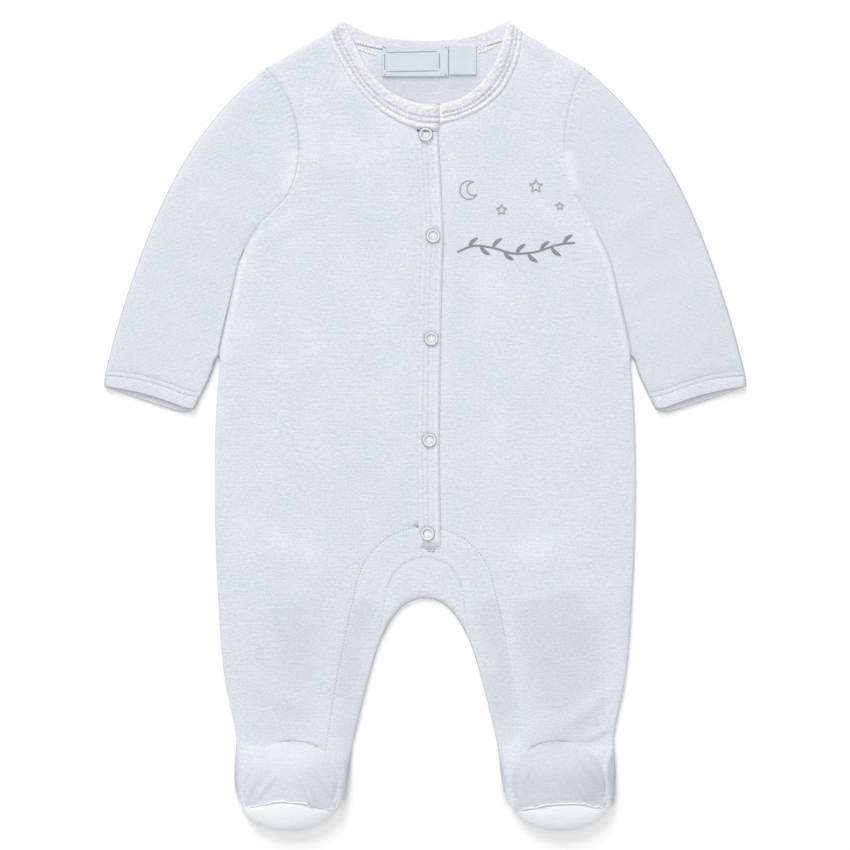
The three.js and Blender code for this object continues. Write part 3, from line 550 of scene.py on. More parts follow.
def heights_over(cloths):
    """Gives the height of the highest of some cloths over a spot of the page, in metres."""
    sight = bpy.context.evaluated_depsgraph_get()
    trees = [BVHTree.FromObject(cloth, sight) for cloth in cloths]

    def top(spot):
        hits = [tree.ray_cast((*spot, 1), (0, 0, -1))[0] for tree in trees]
        return max((hit.z for hit in hits if hit), default=0)

    return top


def level(pieces, line, reach=5.0, lowest=UPPER, share=0.5, over=0.0):
    """Brings the upper sides of two neighbouring pieces to one height along their seam. The second takes a
    share of the step, and ends up a little over the first if said."""
    line = smooth_line(line, 2)
    tops = []
    for piece in pieces:
        top = heights_over([piece])
        heights = np.array([top(spot * MM) for spot in line]) / MM
        known = np.flatnonzero(heights > lowest)
        tops.append(np.interp(np.arange(len(line)), known, heights[known]))
    step = tops[0] - tops[1]
    for piece, climb in zip(pieces, ((share - 1) * step, share * step + over)):
        away, run, length = nearest(spots_of(piece), line)
        rise = np.interp(run / length * (len(line) - 1), np.arange(len(line)), climb)
        ends = np.clip(np.minimum(run, length - run) / 3, 0, 1)
        raise_cloth(piece, rise * ends * np.clip(1 - np.abs(away) / reach, 0, 1) ** 2, lowest)


leg_panel = cut_cloth(
    "inner_leg_panel", 3,
    held=[CROTCH_SEAM, *(on_side(side, line) for side in fronts for line in (LEG_SEAM, FOOT_SEAM[6:]))],
)
for side in fronts:
    meet(leg_panel, on_side(side, FOOT_SEAM[:5:-1] + LEG_SEAM[1:]))
    meet(leg_panel, TOE_SEAMS[side], side=1, reach=9)
meet(leg_panel, CROTCH_SEAM, side=-1, ends=5, lap=0.5)
crumple(leg_panel, *CRUMPLE)
level([back, leg_panel], CROTCH_SEAM)
for side, front in fronts.items():
    level([front, leg_panel], on_side(side, LEG_SEAM))
    # Painted shade down the leg and towards the ankle.
    paint_shading_along(leg_panel, on_side(side, [(42, -112), (60, -205)]), wide=20, share=0.17)
    paint_shading_along(leg_panel, on_side(side, FOOT_SEAM[6:]), wide=16, share=0.08)
# Painted shade along the crotch seam and on the rims, painted highlight beside the seam.
paint_shading_along(leg_panel, CROTCH_SEAM[3:-3], wide=2.2, share=0.2)
paint_shading_along(leg_panel, CROTCH_SEAM[2:-2], wide=3, share=-0.12, beside=-3.4)
leg_seams = [on_side(side, LEG_SEAM) for side in fronts]
paint_rim_shade(leg_panel, 0.6, [CROTCH_SEAM, *leg_seams, *TOE_SEAMS.values()])
leg_panel.data.materials.append(velour("inner leg velour"))
sewn(leg_panel, "inner_leg_panel")


def thread_in_painted_shade(name, colour):
    """Twisted sewing thread, finely ribbed along its length."""
    material, tree, shader, place = new_finish(name)
    dark, light = ([min(1, share * c) for c in colour[:3]] + [1] for share in (0.82, 1.12))
    give(tree, tint(tree, grain(tree, place, THREAD_TWIST), dark, light), shader.inputs["Base Color"])
    shader.inputs["Roughness"].default_value = 0.6
    return material


def stitches(name, lines, cloths, finish, long, wide, high, pitch, turn=0.0, sink=0.3, tapered=False):
    """Rows of like stitches along lines, laid on the highest of some cloths. Millimetres and degrees."""
    bpy.ops.object.select_all(action="DESELECT")
    bpy.ops.mesh.primitive_uv_sphere_add(segments=6, ring_count=5, radius=0.5, rotation=(0, math.pi / 2, 0))
    stitch = bpy.context.active_object
    stitch.scale = (high * MM, wide * MM, long * MM)
    bpy.ops.object.transform_apply(location=True, rotation=True, scale=True)
    shape = spots_of(stitch)
    faces = [list(face.vertices) for face in stitch.data.polygons]
    bpy.data.objects.remove(stitch)
    top = heights_over(cloths)
    spots, all_faces = [], []
    for line in lines:
        line = smooth_line(line, pitch) * MM
        for number, (start, end) in enumerate(zip(line[:-1], line[1:])):
            centre = (start + end) / 2
            angle = math.atan2(*(end - start)[::-1]) + math.radians(turn)
            way = np.array([math.cos(angle), math.sin(angle)])
            share = math.sin(math.pi * (number + 0.5) / (len(line) - 1)) ** 0.6 if tapered else 1
            reach = way * long * share * MM * 0.4
            low, high_end = top(centre - reach), top(centre + reach)
            lean = (high_end - low) / (0.8 * long * share * MM)
            along = shape[:, 0] * share
            placed = np.column_stack([
                centre[0] + along * way[0] - shape[:, 1] * way[1],
                centre[1] + along * way[1] + shape[:, 1] * way[0],
                (low + high_end) / 2 + along * lean + shape[:, 2] + (0.5 - sink) * high * MM,
            ])
            all_faces += [[i + len(spots) for i in face] for face in faces]
            spots += placed.tolist()
    mesh = bpy.data.meshes.new(name)
    mesh.from_pydata(spots, [], all_faces)
    row = bpy.data.objects.new(name, mesh)
    bpy.context.collection.objects.link(row)
    mesh.shade_smooth()
    mesh.materials.append(finish)
    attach(row, "root")
    return row


LEG_STITCH_ENDS = {"right": 0, "left": 3}  # the first point of the leg seam at which stitches still show
LEG_STITCH_LINE = [(x - 0.3, y - 0.2) for x, y in LEG_SEAM]
stitches(
    "leg_seam_stitching",
    [on_side(side, LEG_STITCH_LINE[start:]) for side, start in LEG_STITCH_ENDS.items()],
    [leg_panel, *fronts.values()],
    thread_in_painted_shade("leg seam thread in painted shade", THREAD_IN_PAINTED_SHADE),
    long=1.35, wide=0.5, high=0.4, pitch=2.1, sink=0.2,
)


# Sleeves
# One piece of velour each, folded along the top of the arm and seamed under it, set into the armhole with a
# little fullness at the shoulder.
SLEEVE_TURN = {"right": 22, "left": -22}
# The sleeves' velour, painted a little darker and bluer than the body's, the left one darker still: painted
# shade.
SLEEVE_CLOTH_IN_PAINTED_SHADE = {"right": (0.722, 0.738, 0.803, 1), "left": (0.702, 0.716, 0.788, 1)}
CUFF_SEAM = [(209.8, 32.4), (195, 31.2), (181, 28.6), (168, 24.4), (157, 20.2), (147, 18.4)]
SLEEVE_FOLDS = {
    "right": [
        {"line": [(-128, 176), (-112, 168), (-98, 160)], "wide": 7, "high": 0.5},
        {"line": [(-120, 128), (-132, 140), (-150, 150)], "wide": 9, "high": 0.6},
        {"line": [(-130, 92), (-146, 100), (-164, 104)], "wide": 9, "high": 0.5},
    ],
    "left": [
        {"line": [(122, 122), (136, 136), (152, 146)], "wide": 9, "high": 0.6},
        {"line": [(132, 84), (148, 96), (168, 102)], "wide": 9, "high": 0.5},
    ],
}
sleeves = {}
for side, turn in SLEEVE_TURN.items():
    arm_seam, cuff_seam = ARM_SEAMS[side], on_side(side, CUFF_SEAM)
    cap = arm_seam[CAP]
    out = -INWARD[side]
    sleeve = cut_cloth(
        f"sleeve_{side}", 3, held=[arm_seam, cuff_seam],
        finer=[(arm_seam, 2.4), (cap, 6.5), (cuff_seam, 6)],
    )
    meet(sleeve, arm_seam)
    meet(sleeve, cuff_seam)
    press_folds(sleeve, SLEEVE_FOLDS[side], lowest=UPPER)
    gather(sleeve, arm_seam[4:], pitch=5.2, wide=3, high=0.12, lowest=UPPER)
    gather(sleeve, cap, pitch=2.5, wide=1.9, high=0.6, beside=4.0 * out, lowest=UPPER)
    gather(sleeve, arm_seam[4:9], pitch=3.4, wide=2.2, high=0.2, beside=2 * out, lowest=UPPER)
    press_folds(sleeve, [{"line": line, **SEAM_GROOVE} for line in (arm_seam[:7], cap)], lowest=UPPER)
    press_folds(sleeve, [{"line": cap, "wide": 1.3, "high": -0.25, "beside": 2.5 * out}], lowest=UPPER)
    # Painted shade along the armhole seam and beside the cap, painted highlight beside the chest side.
    paint_shading_along(sleeve, cap, wide=1.1, share=0.16, beside=2.5 * out)
    paint_shading_along(sleeve, arm_seam[CHEST_SIDE], wide=6, share=-0.3, beside=2.5 * out)
    paint_shading_along(sleeve, arm_seam[ARMPIT], wide=1.3, share=0.08)
    paint_shading_along(sleeve, cap, wide=1.3, share=0.2)
    paint_shading_along(sleeve, arm_seam[UNDERARM], wide=1.3, share=0.42)
    crumple(sleeve, *CRUMPLE, lowest=UPPER)
    level([fronts[side], sleeve], arm_seam)
    # Painted shade on the rims.
    paint_rim_shade(sleeve, 0.7, [arm_seam, cuff_seam])
    sleeve.data.materials.append(velour(f"sleeve {side} velour", cloth=SLEEVE_CLOTH_IN_PAINTED_SHADE[side], turn=turn))
    sewn(sleeve, f"sleeve_{side}")
    sleeves[side] = sleeve


# Cuffs
# Narrow turned bands at the sleeves' ends, with one line of topstitching above their seam.
CUFF_CLOTH = (0.755, 0.76, 0.81, 1)
# Thread darkened so that its line reads dark, as if shaded in its groove: painted shade.
CUFF_THREAD_IN_PAINTED_SHADE = (0.6, 0.59, 0.69, 1)
CUFF_TOPSTITCH = [(208.6, 36), (195, 34.9), (180, 32), (166.5, 27.6), (155.6, 23.6), (148, 22)]
for side, turn in SLEEVE_TURN.items():
    line, seam = on_side(side, CUFF_TOPSTITCH), on_side(side, CUFF_SEAM)
    cuff = cut_cloth(f"cuff_{side}", 3, held=[seam])
    meet(cuff, seam)
    crumple(cuff, *CRUMPLE, lowest=UPPER)
    level([sleeves[side], cuff], seam)
    press_folds(sleeves[side], [{"line": line, "wide": 1.8, "high": -0.3}], lowest=UPPER, fading=False)
    for piece in (cuff, sleeves[side]):
        press_folds(piece, [{"line": seam, "wide": 1.6, "high": -0.2}], lowest=UPPER, fading=False)
        # Painted shade along the cuff seam.
        paint_shading_along(piece, seam, wide=0.9, share=0.34, lowest=UPPER)
        gather(piece, seam[-3:], pitch=2.4, wide=3.0, high=0.35, lowest=UPPER)
    # Painted shade along the topstitch line and on the cuff's rims.
    paint_shading_along(sleeves[side], line, wide=1.0, share=0.3, lowest=UPPER)
    paint_rim_shade(cuff, 0.6, [seam])
    cuff.data.materials.append(velour(f"cuff {side} velour", cloth=CUFF_CLOTH, turn=turn))
    sewn(cuff, f"cuff_{side}")
    stitches(
        f"cuff_stitching_{side}", [line], [sleeves[side]], thread_in_painted_shade(f"cuff {side} thread", CUFF_THREAD_IN_PAINTED_SHADE),
        long=2.5, wide=0.5, high=0.35, pitch=2.6, sink=0.3,
    )


# Neckband
# A folded strip of velour round the neck, coverstitched in two lines, with the turned edge below them in a
# soft roll. Its right end laps over the left.
BAND_CLOTH = (0.762, 0.764, 0.802, 1)
BAND_SHADE = (0.628, 0.628, 0.678, 1)
BAND_UPPER = 3.0  # the band's upper cloth lies above this height, in millimetres
BAND_ROLL = 0.84  # share of the band's width at which its turned edge rolls highest
COVERSTITCH = (0.47, 0.68)  # shares of the band's width at which the two lines run
BAND_PUCKERS = (  # share of the band's width at which a row of puckers lies, their pitch and their height
    (0.12, 2.9, 0.16), (0.3, 2.3, 0.16), (0.575, 2.5, 0.14), (0.86, 3.4, 0.2),
)


def mottle(piece, share, size, lowest=-1.0):
    """Tufts that lie this way and that, lighter and darker."""
    spots = spots_of(piece)
    tufts = [noise.noise(Vector(p) / (size * MM)) for p in spots]
    paint_shading_and_tone(piece, share * np.array(tufts) * (spots[:, 2] / MM > lowest))


neckband = cut_cloth("neckband", 4, rounded=0.0)
band_lines = [band_line(side, share) for side in BAND_EDGES for share in COVERSTITCH]
LAP_END = [(9.0, 210.2), (9.4, 201), (9.2, 191.5)]  # where the band's right end stops over its left one
rolls = [{"line": band_line(side, BAND_ROLL), "wide": 2.6, "high": 0.4} for side in BAND_EDGES]
rolls += [{"line": band_line(side, 1.0), "wide": 2.4, "high": -0.5} for side in BAND_EDGES]
rolls += [{"line": LAP_END, "wide": 3.2, "high": -1.1}]
grooves = [{"line": line, "wide": 1.3, "high": -0.5} for line in band_lines]
press_folds(neckband, rolls + grooves, lowest=BAND_UPPER, fading=False)
for side in BAND_EDGES:
    for share, pitch, high in BAND_PUCKERS:
        gather(neckband, band_line(side, share), pitch=pitch, wide=1.7, high=high, lowest=BAND_UPPER)
    # Painted highlight on the roll and along the opening's edge.
    paint_shading_along(neckband, band_line(side, BAND_ROLL), wide=2.6, share=-0.35, lowest=BAND_UPPER)
    paint_shading_along(neckband, band_line(side, 0.05), wide=2.2, share=-0.2, lowest=BAND_UPPER)
# Painted shade in the coverstitch grooves.
for line in band_lines:
    paint_shading_along(neckband, line, wide=0.9, share=0.24, lowest=BAND_UPPER)
gather(neckband, LAP_END, pitch=2.6, wide=1.6, high=0.4, beside=-1.0, lowest=BAND_UPPER)
# Painted highlight beside the band's lapped end.
paint_shading_along(neckband, LAP_END, wide=1.6, share=-0.8, beside=0.6)
crumple(neckband, 0.22, 9, lowest=BAND_UPPER)
crumple(neckband, 0.34, 1.9, lowest=BAND_UPPER)
mottle(neckband, 0.3, 1.5, lowest=BAND_UPPER)
neckband.data.materials.append(
    velour("neckband velour", cloth=BAND_CLOTH, shade=BAND_SHADE, rows=620, depth=0.5 * MM)
)
band_stitching = stitches(
    "neckband_stitching", band_lines, [neckband], thread_in_painted_shade("neckband thread in painted shade", THREAD_IN_PAINTED_SHADE),
    long=1.5, wide=0.5, high=0.4, pitch=2.3, sink=0.35,
)
BACK_CHAINS = [[(-44.2, 251.0), (-36, 248.6), (-28.2, 247.0)], [(-43.8, 246.6), (-37, 244.2), (-31.5, 242.6)],
               [(34.6, 246.8), (41, 249.2), (48.8, 252.4)], [(34.6, 244.2), (40, 245.6), (47, 248.8)]]
back_chains = stitches(
    "back_neck_stitching", BACK_CHAINS, [neckband, back], thread_in_painted_shade("back neck thread", PAINTED_HIGHLIGHT_AND_THREAD_WHITE),
    long=2.0, wide=1.4, high=0.9, pitch=2.1, turn=24, sink=0.2,
)
sewn(
    neckband, "neckband",
)


# Placket
# A folded strip on the right front's edge, coverstitched in two rows, which carries the snaps.
PLACKET_CLOTH = (0.76, 0.765, 0.81, 1)
PLACKET_STITCH = (-3.9, -0.6)  # how far from its middle line the two rows of coverstitch run
placket = cut_cloth("placket", 4, held=[PLACKET_SEAM], rounded=0.0)
meet(placket, PLACKET_SEAM, side=-1, reach=4)
placket_lines = [[(x + off, y) for x, y in PLACKET_LINE] for off in PLACKET_STITCH]
press_folds(placket, [{"line": line, "wide": 1.3, "high": -0.3} for line in placket_lines], fading=False)
press_folds(placket, [{"line": [(x + 7.2, y) for x, y in PLACKET_LINE], "wide": 2.4, "high": -0.8},
                      {"line": [(-8, -80.2), (14, -80.2)], "wide": 5, "high": -1.4}], fading=False)
for off, pitch in ((-5.6, 3.3), (-2.2, 2.6)):
    gather(placket, [(x + off, y) for x, y in PLACKET_LINE], pitch=pitch, wide=1.5, high=0.12)
level([fronts["right"], placket], PLACKET_SEAM, reach=3)
crumple(placket, 0.16, 8)
crumple(placket, 0.16, 2.2)
mottle(placket, 0.16, 1.5)
# Painted shade along the coverstitch rows and the seam, painted highlight at the lower end and along the
# right edge.
for line in placket_lines:
    paint_shading_along(placket, line, wide=0.9, share=0.14)
paint_shading_along(placket, PLACKET_SEAM, wide=1.2, share=0.1)
paint_shading_along(placket, [(-12, -76), (18, -76)], wide=9, share=-0.3)
paint_shading_along(placket, [(x + 5.4, y) for x, y in PLACKET_LINE], wide=1.9, share=-0.4)
placket.data.materials.append(velour("placket velour", cloth=PLACKET_CLOTH))
placket_stitching = stitches(
    "placket_stitching", placket_lines, [placket], thread_in_painted_shade("placket thread", BAND_CLOTH),
    long=1.6, wide=0.5, high=0.4, pitch=2.2, sink=0.3,
)
bar_tack = stitches(
    "placket_bar_tack", [[(0.0, -80.4), (7.4, -80.7)], [(1.2, -82.0), (6.6, -82.2)]],
    [leg_panel, placket, *fronts.values()], thread_in_painted_shade("bar tack thread in painted shade", THREAD_IN_PAINTED_SHADE),
    long=2.3, wide=0.75, high=0.7, pitch=2.35, sink=0.1,
)
sewn(
    placket, "placket",
)


# Foot tops
# Rounded pieces of velour over the insteps, eased into their seams, which leaves small puckers.
# The foot tops' velour, darker than the body's and the left foot's darkest: painted shade.
FOOT_CLOTH_IN_PAINTED_SHADE = {"right": (0.70, 0.70, 0.754, 1), "left": (0.652, 0.652, 0.704, 1)}
FOOT_GRAIN_IN_PAINTED_SHADE = {"right": (0.62, 0.618, 0.668, 1), "left": (0.572, 0.57, 0.62, 1)}
FOOT_FOLDS = {
    "right": [
        {"line": [(-110, -226), (-115, -238), (-121, -249)], "wide": 4, "high": 0.7},
        {"line": [(-97, -226), (-107, -238), (-115, -248)], "wide": 3.8, "high": 0.7},
        {"line": [(-69, -224), (-62, -236), (-57, -247)], "wide": 3.8, "high": 0.6},
        {"line": [(-77, -234), (-74, -244), (-72, -252)], "wide": 3, "high": 0.6},
    ],
    "left": [
        {"line": [(104, -216), (112, -228), (118, -240)], "wide": 4, "high": 0.8},
        {"line": [(98, -232), (104, -240), (108, -247)], "wide": 3, "high": 0.5},
        {"line": [(66, -222), (62, -234), (62, -245)], "wide": 4, "high": 0.5},
    ],
}

foot_tops = {}
for side in fronts:
    seam = on_side(side, FOOT_SEAM)
    foot_top = cut_cloth(f"foot_top_{side}", 3, held=[seam, TOE_SEAMS[side]])
    meet(foot_top, seam, lap=0.8)
    meet(foot_top, TOE_SEAMS[side], side=1, reach=9, ends=0.5)
    press_folds(foot_top, FOOT_FOLDS[side])
    # Painted shade on both sides of each fold and painted highlight along its crest.
    for fold in FOOT_FOLDS[side]:
        for beside in (-0.8, 0.8):
            paint_shading_along(foot_top, fold["line"], fold["wide"] * 0.8, 0.1, beside * fold["wide"])
        paint_shading_along(foot_top, fold["line"], fold["wide"] * 0.6, -0.05)
    crumple(foot_top, *CRUMPLE)
    level([fronts[side], foot_top], seam[:7], reach=4, share=1, over=0.1)
    level([leg_panel, foot_top], seam[6:], reach=4, share=1, over=0.1)
    foot_top.data.materials.append(
        velour(f"foot top {side} velour", cloth=FOOT_CLOTH_IN_PAINTED_SHADE[side], shade=FOOT_GRAIN_IN_PAINTED_SHADE[side])
    )
    sewn(foot_top, f"foot_top_{side}")
    foot_tops[side] = foot_top


# Soles
# A smoother, whiter cloth from the heel round the toes, whose edge rolls over the toe seam in an uneven lip.
SOLE_CLOTH = (0.885, 0.92, 0.942, 1)
SOLE_SHADE = (0.828, 0.862, 0.887, 1)
TOE_REACH = (  # how far down the page, and half the foot's width there
    (234, 240, 244, 249.5),
    (60, 35.6, 34.4, 31.2),
)
TOE_MIDDLE = {"right": (-87.5, 1.0), "left": (89.2, 1.04)}  # each foot's middle, and how much broader it is


def trim_to_toe(piece, middle, broader):
    """Draws the pieces over and under a foot in to the foot's outline near the toes."""
    spots = spots_of(piece)
    off = spots[:, 0] / MM - middle
    reach = broader * np.interp(-spots[:, 1] / MM, *TOE_REACH)
    spots[:, 0] = np.where(np.abs(off) < 50, middle + np.clip(off, -reach, reach), spots[:, 0] / MM) * MM
    move_to(piece, spots)


def rolled_edge(name, line, cloths, finish, thick, waver, down):
    """An edge of cloth that rolls over along a seam, uneven in height and width. Millimetres."""
    line = smooth_line(line, 0.8)
    top = heights_over(cloths)
    curve = bpy.data.curves.new(name, "CURVE")
    curve.dimensions = "3D"
    curve.bevel_depth = thick / 2 * MM
    curve.bevel_resolution = 2
    curve.use_fill_caps = True
    spline = curve.splines.new("POLY")
    spline.points.add(len(line) - 1)
    for number, (point, (x, y)) in enumerate(zip(spline.points, line)):
        wave = noise.noise(Vector((x / 5, y / 5, 0))) + 0.5 * noise.noise(Vector((x / 1.7, y / 1.7, 4)))
        end = min(number, len(line) - 1 - number) / 6
        x, y = x * MM, (y + waver * wave - down * (1 + 0.5 * wave)) * MM
        height = max(top((x, y + step * MM)) for step in (-0.9, 0, 0.9))
        point.co = (x, y, height - 0.1 * thick * MM, 1)
        point.radius = min(1, 0.25 + end) * (1 + 0.5 * wave)
    roll = bpy.data.objects.new(name, curve)
    bpy.context.collection.objects.link(roll)
    choose(roll)
    bpy.ops.object.convert(target="MESH")
    bpy.ops.object.shade_smooth()
    roll.data.materials.append(finish)
    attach(roll, "root")
    return roll


LIPS = {"right": slice(2, 8), "left": slice(2, 9)}  # the part of each toe seam over which the edge rolls
TOE_ROLLS = (  # name, colour, thickness, and how far down the page from the seam
    ("lip", (0.80, 0.81, 0.85, 1), 1.2, 0.0),
    # A dark cord just under the lip, where the lip's shadow falls: painted shadow.
    ("seam", (0.58, 0.57, 0.65, 1), 0.7, 0.7),
)
for side in fronts:
    line = TOE_SEAMS[side]
    finish = velour(f"sole {side} cloth", cloth=SOLE_CLOTH, shade=SOLE_SHADE)
    sole = cut_cloth(f"sole_{side}", 3, held=[line])
    meet(sole, line, side=-1, reach=9, lowest=2.2)
    crumple(sole, *CRUMPLE, lowest=2)
    level([foot_tops[side], sole], line[2:9], reach=3, over=-0.1)
    sole.data.materials.append(finish)
    under = [sole, foot_tops[side], leg_panel, fronts[side]]
    for piece in under:
        trim_to_toe(piece, *TOE_MIDDLE[side])
    rolls = [
        rolled_edge(
            f"toe_{name}_{side}", line[LIPS[side]], under,
            velour(f"toe {name} {side} cloth", cloth=colour, shade=colour), thick=thick, waver=0.7, down=down,
        )
        for name, colour, thick, down in TOE_ROLLS
    ]
    sewn(sole, f"sole_{side}")


# Neck labels
# A woven satin tape folded double with a size tape beside it, both caught under the back of the neckband.
LABEL_GREY = (0.68, 0.71, 0.775, 1)
LABEL_SHADE = (0.57, 0.595, 0.65, 1)


def satin(name):
    """Woven satin, finely ribbed across the tape, with faint patches."""
    material, tree, shader, place = new_finish(name)
    weave = ribs(tree, place, 700, distortion=1.5)
    patches = grain(tree, place, 240)
    colour = tint(tree, blend(tree, weave, patches, 0.6), LABEL_SHADE, LABEL_GREY)
    give(tree, colour, shader.inputs["Base Color"])
    give(tree, raised(tree, weave, 0.2, 0.1 * MM), shader.inputs["Normal"])
    shader.inputs["Roughness"].default_value = 0.5
    return material


LABEL_INK = (0.05, 0.052, 0.06, 1)
LABEL_WAVES = {"neck_label": 1.5, "size_label": 0.7}  # how many waves each tape lies in
labels = []
for node, waves in LABEL_WAVES.items():
    low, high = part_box(node)
    bpy.ops.object.select_all(action="DESELECT")
    bpy.ops.mesh.primitive_plane_add(size=1, location=((low + high) / 2))
    label = bpy.context.active_object
    label.name = f"{node}_tape"
    label.scale = (high.x - low.x, high.y - low.y, 1)
    bpy.ops.object.transform_apply(location=True, rotation=True, scale=True)
    bpy.ops.object.mode_set(mode="EDIT")
    bpy.ops.mesh.subdivide(number_cuts=22)
    bpy.ops.object.mode_set(mode="OBJECT")
    spots = spots_of(label)
    along = (spots[:, 0] - low.x) / (high.x - low.x)
    down = (high.y - spots[:, 1]) / (high.y - low.y)
    spots[:, 2] += (0.16 * np.cos(2 * np.pi * waves * along) + 0.25 * down**3 + 0.1) * MM
    move_to(label, spots)
    thick = label.modifiers.new("folded double", "SOLIDIFY")
    thick.thickness = 0.5 * MM
    thick.offset = 0
    bpy.ops.object.modifier_apply(modifier=thick.name)
    rim = label.modifiers.new("rim", "BEVEL")
    rim.width = 0.15 * MM
    rim.segments = 2
    bpy.ops.object.modifier_apply(modifier=rim.name)
    bpy.ops.object.shade_smooth_by_angle(angle=SHARP)
    label.data.materials.append(satin(f"{node} satin"))
    labels.append(label)

LABEL_BORDER = [[(-25.4, 244.0), (8.0, 244.6)], [(9.4, 243.4), (9.4, 233.4)], [(8.0, 232.0), (-25.4, 231.4)],
                [(-26.4, 232.6), (-26.4, 242.8)]]
LABEL_CORNERS = [[(-27.6, 248.0), (-25.6, 246.6)], [(-27.8, 228.2), (-25.6, 229.8)],
                 [(15.2, 248.4), (13.2, 246.8)], [(15.4, 228.4), (13.0, 229.8)]]
border = stitches(
    "label_border", LABEL_BORDER, labels, thread_in_painted_shade("label border ink", LABEL_INK),
    long=0.9, wide=0.7, high=0.2, pitch=1.4, sink=0.2,
)
corner_ties = stitches(
    "label_corner_stitches", LABEL_CORNERS, [*labels, back], thread_in_painted_shade("label corner thread", LABEL_INK),
    long=1.5, wide=0.4, high=0.35, pitch=1.4, sink=0.2,
)
for label, node, more in zip(labels, LABEL_WAVES, ([border, corner_ties], [])):
    low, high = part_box(node)
    sewn(label, node)


# Embroidery
# Satin stitch in silver grey thread on the left chest: a crescent moon, three small stars and a leafy sprig.
SILVER = (0.46, 0.465, 0.475, 1)
SPRIG_GREY = (0.31, 0.315, 0.325, 1)
MOON = (28.8, 154.0, 6.0)  # its place on the page and its size
STARS = ((72.5, 156.5, 4.6), (50.0, 141.0, 3.6), (88.0, 143.5, 2.8))


def arc(x, y, radius, first, last):
    turns = np.radians(np.linspace(first, last, 9))
    return [(x + radius * math.cos(turn), y + radius * math.sin(turn)) for turn in turns]


def star(x, y, size):
    tips = [(x + size * (1 if i % 2 == 0 else 0.45) * math.sin(math.pi * i / 5),
             y + size * (1 if i % 2 == 0 else 0.45) * math.cos(math.pi * i / 5)) for i in range(11)]
    return [[a, b] for a, b in zip(tips, tips[1:])]


x, y, size = MOON
moon = [arc(x, y, size, 60, 330), arc(x + 0.5 * size, y + 0.134 * size, 0.73 * size, 300, 90)]
stars = [line for place in STARS for line in star(*place)]
stitches(
    "embroidered_sky", moon + stars, [fronts["left"]], thread_in_painted_shade("silver thread", SILVER),
    long=1.0, wide=0.5, high=0.45, pitch=0.42, turn=76, sink=0.1,
)
STEM = [(21, 113.5), (32, 117.5), (45, 116), (58, 112.5), (72, 113.5), (86, 118), (98, 119.5)]
stitches(
    "embroidered_stem", [STEM], [fronts["left"]], thread_in_painted_shade("stem thread", SPRIG_GREY),
    long=1.5, wide=0.5, high=0.5, pitch=0.42, turn=72, sink=0.1,
)
leaves = []
for number, (x, y) in enumerate(smooth_line(STEM, 7.6)[1:-1]):
    up = 1 if number % 2 == 0 else -1
    leaves.append([(x, y), (x + 2.6, y + 3.6 * up), (x + 6.4, y + 6.0 * up)])
stitches(
    "embroidered_leaves", leaves, [fronts["left"]], thread_in_painted_shade("leaf thread", SPRIG_GREY),
    long=3.1, wide=0.5, high=0.5, pitch=0.42, turn=66, sink=0.1, tapered=True,
)


# Ring snaps
# Open rings in white enamel, pressed through the placket; the cloth shows in their middle.
SNAP_WHITE = (0.86, 0.86, 0.9, 1)
SNAP_SHADE = (0.7, 0.69, 0.76, 1)
SNAP_PAINTED_SHADE = (0.34, 0.32, 0.42, 1)  # painted shade on the ring's outer slope
RING_RADIUS, RING_WIRE, RING_FLATNESS = 3.85 * MM, 0.72 * MM, 0.62
RING_SHADE_FROM = 4.05  # how far from the ring's middle, in millimetres, its outer slope is painted in shade
SUNK_OUTSIDE, SHADED_INSIDE, PUFFED_MIDDLE = 4.7, 2.9, 2.6  # how far from it the cloth sinks with painted shade, takes painted shade inside the ring, and puffs up with painted highlight


def enamel(name):
    """White enamel, a little dulled in patches, with painted shade on the ring's outer slope where the
    written value says.
    """
    material, tree, shader, place = new_finish(name)
    patches = grain(tree, place, 420)
    colour = tint(tree, patches, SNAP_SHADE, SNAP_WHITE)
    give(tree, tint(tree, painted_light_and_mottle_share(tree), colour, SNAP_PAINTED_SHADE), shader.inputs["Base Color"])
    give(tree, spread(tree, patches, 0.0, 1.0, 0.18, 0.42), shader.inputs["Roughness"])
    return material


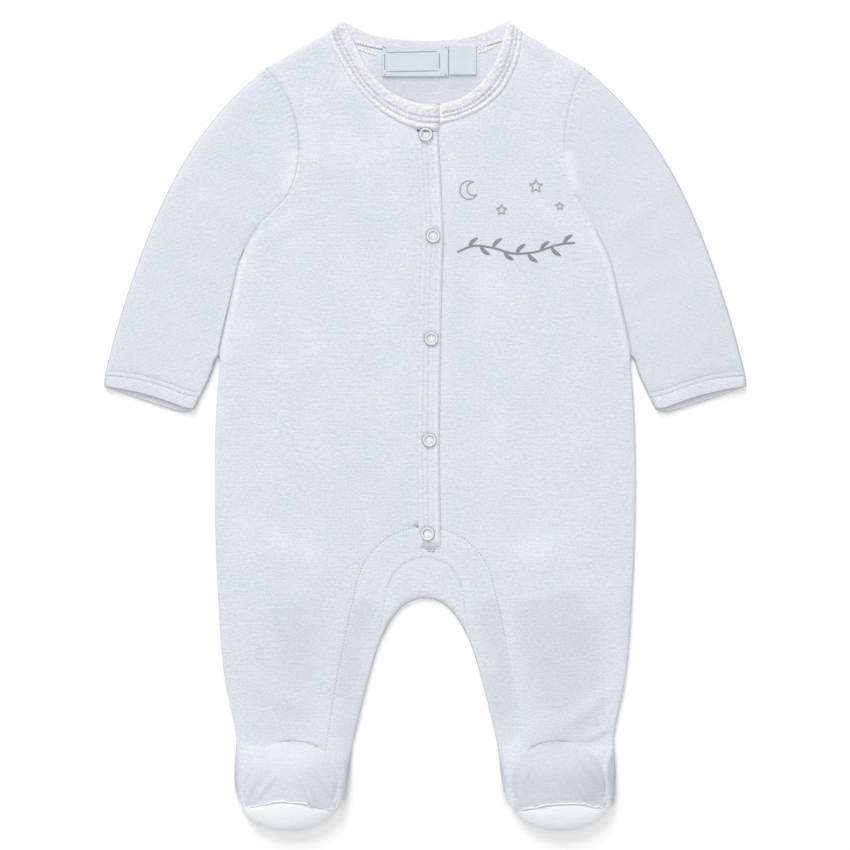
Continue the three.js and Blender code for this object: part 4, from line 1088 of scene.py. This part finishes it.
bpy.ops.object.select_all(action="DESELECT")
bpy.ops.mesh.primitive_torus_add(
    major_radius=RING_RADIUS, minor_radius=RING_WIRE, major_segments=40, minor_segments=16
)
pattern = bpy.context.active_object
bpy.ops.object.mode_set(mode="EDIT")
bpy.ops.transform.resize(value=(1, 1, RING_FLATNESS))
bpy.ops.mesh.select_all(action="DESELECT")
bpy.ops.object.mode_set(mode="OBJECT")
for face in pattern.data.polygons:
    face.select = face.normal.z > 0.9
bpy.ops.object.mode_set(mode="EDIT")
bpy.ops.mesh.inset(thickness=0.08 * MM, depth=-0.1 * MM)
bpy.ops.object.mode_set(mode="OBJECT")
bpy.ops.object.shade_smooth()
snap_finish = enamel("snap enamel")
ring_shape = spots_of(pattern)
for number in range(1, 6):
    low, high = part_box(f"snap_{number}")
    centre = (low + high) / 2
    ring = bpy.data.objects.new(f"snap_{number}_ring", pattern.data.copy())
    bpy.context.collection.objects.link(ring)
    move_to(ring, ring_shape + np.array(centre))
    # The ring's outer slope is painted in shade.
    paint_shading_and_tone(ring, np.clip((np.hypot(*ring_shape[:, :2].T) / MM - RING_SHADE_FROM) / 0.3, 0, 1))
    ring.data.materials.append(snap_finish)
    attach(ring, "root")
    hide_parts(f"snap_{number}")
    for cloth in (placket, neckband):
        spots = spots_of(cloth)
        away = np.hypot(*(spots[:, :2] - np.array(centre)[:2]).T) / MM
        over = spots[:, 2] > centre.z - 3 * MM
        outside = np.clip(1 - ((away - SUNK_OUTSIDE) / 0.7) ** 2, 0, 1)
        inside = np.clip(1 - ((away - SHADED_INSIDE) / 0.6) ** 2, 0, 1)
        middle = np.clip(1 - (away / PUFFED_MIDDLE) ** 2, 0, 1)
        spots[:, 2] += (0.35 * middle - 0.35 * outside) * over * MM
        move_to(cloth, spots)
        # Painted shade round the ring and just inside it, painted highlight on the puffed middle.
        paint_shading_and_tone(cloth, (0.3 * outside + 0.25 * inside - 0.5 * middle) * over)
bpy.data.objects.remove(pattern)


# Floor, light and camera
# A plain pale floor, a broad soft light above, a stronger one that slants in from beyond the neck, and a
# camera straight above the garment, as far away as a photographer's would be.
FLOOR_WHITE = (1, 1, 1, 1)
LENS, SENSOR = 135, 36
VIEW_WIDTH, VIEW_MIDDLE = 0.55675, 0.0003  # metres of page across the view, and its middle up the page
LIGHTS = (  # name, place, width in metres, power in watts
    ("overhead", (0.0, 0.0, 3.2), 3.4, 38),
    ("neck_end", (-2.1, 6.3, 4.2), 4.2, 390),
)
bpy.ops.mesh.primitive_plane_add(size=8, location=(0, 0, -0.1 * MM))
floor = bpy.context.active_object
floor.name = "floor"
paper = bpy.data.materials.new("floor paper")
paper.use_nodes = True
paper.node_tree.nodes["Principled BSDF"].inputs["Base Color"].default_value = FLOOR_WHITE
paper.node_tree.nodes["Principled BSDF"].inputs["Roughness"].default_value = 0.9
floor.data.materials.append(paper)

for name, place, size, power in LIGHTS:
    bpy.ops.object.light_add(type="AREA", location=place)
    light = bpy.context.active_object
    light.name = name
    light.data.size = size
    light.data.energy = power
    light.rotation_euler = (-Vector(place)).to_track_quat("-Z", "Y").to_euler()

world = bpy.data.worlds.new("studio")
world.use_nodes = True
world.node_tree.nodes["Background"].inputs["Color"].default_value = (1, 1, 1, 1)
world.node_tree.nodes["Background"].inputs["Strength"].default_value = 0.5
bpy.context.scene.world = world

bpy.ops.object.camera_add(location=(0, VIEW_MIDDLE, VIEW_WIDTH * LENS / SENSOR), rotation=(0, 0, 0))
camera = bpy.context.active_object
camera.data.lens = LENS
camera.data.sensor_width = SENSOR
bpy.context.scene.camera = camera
bpy.context.scene.view_settings.view_transform = "Standard"
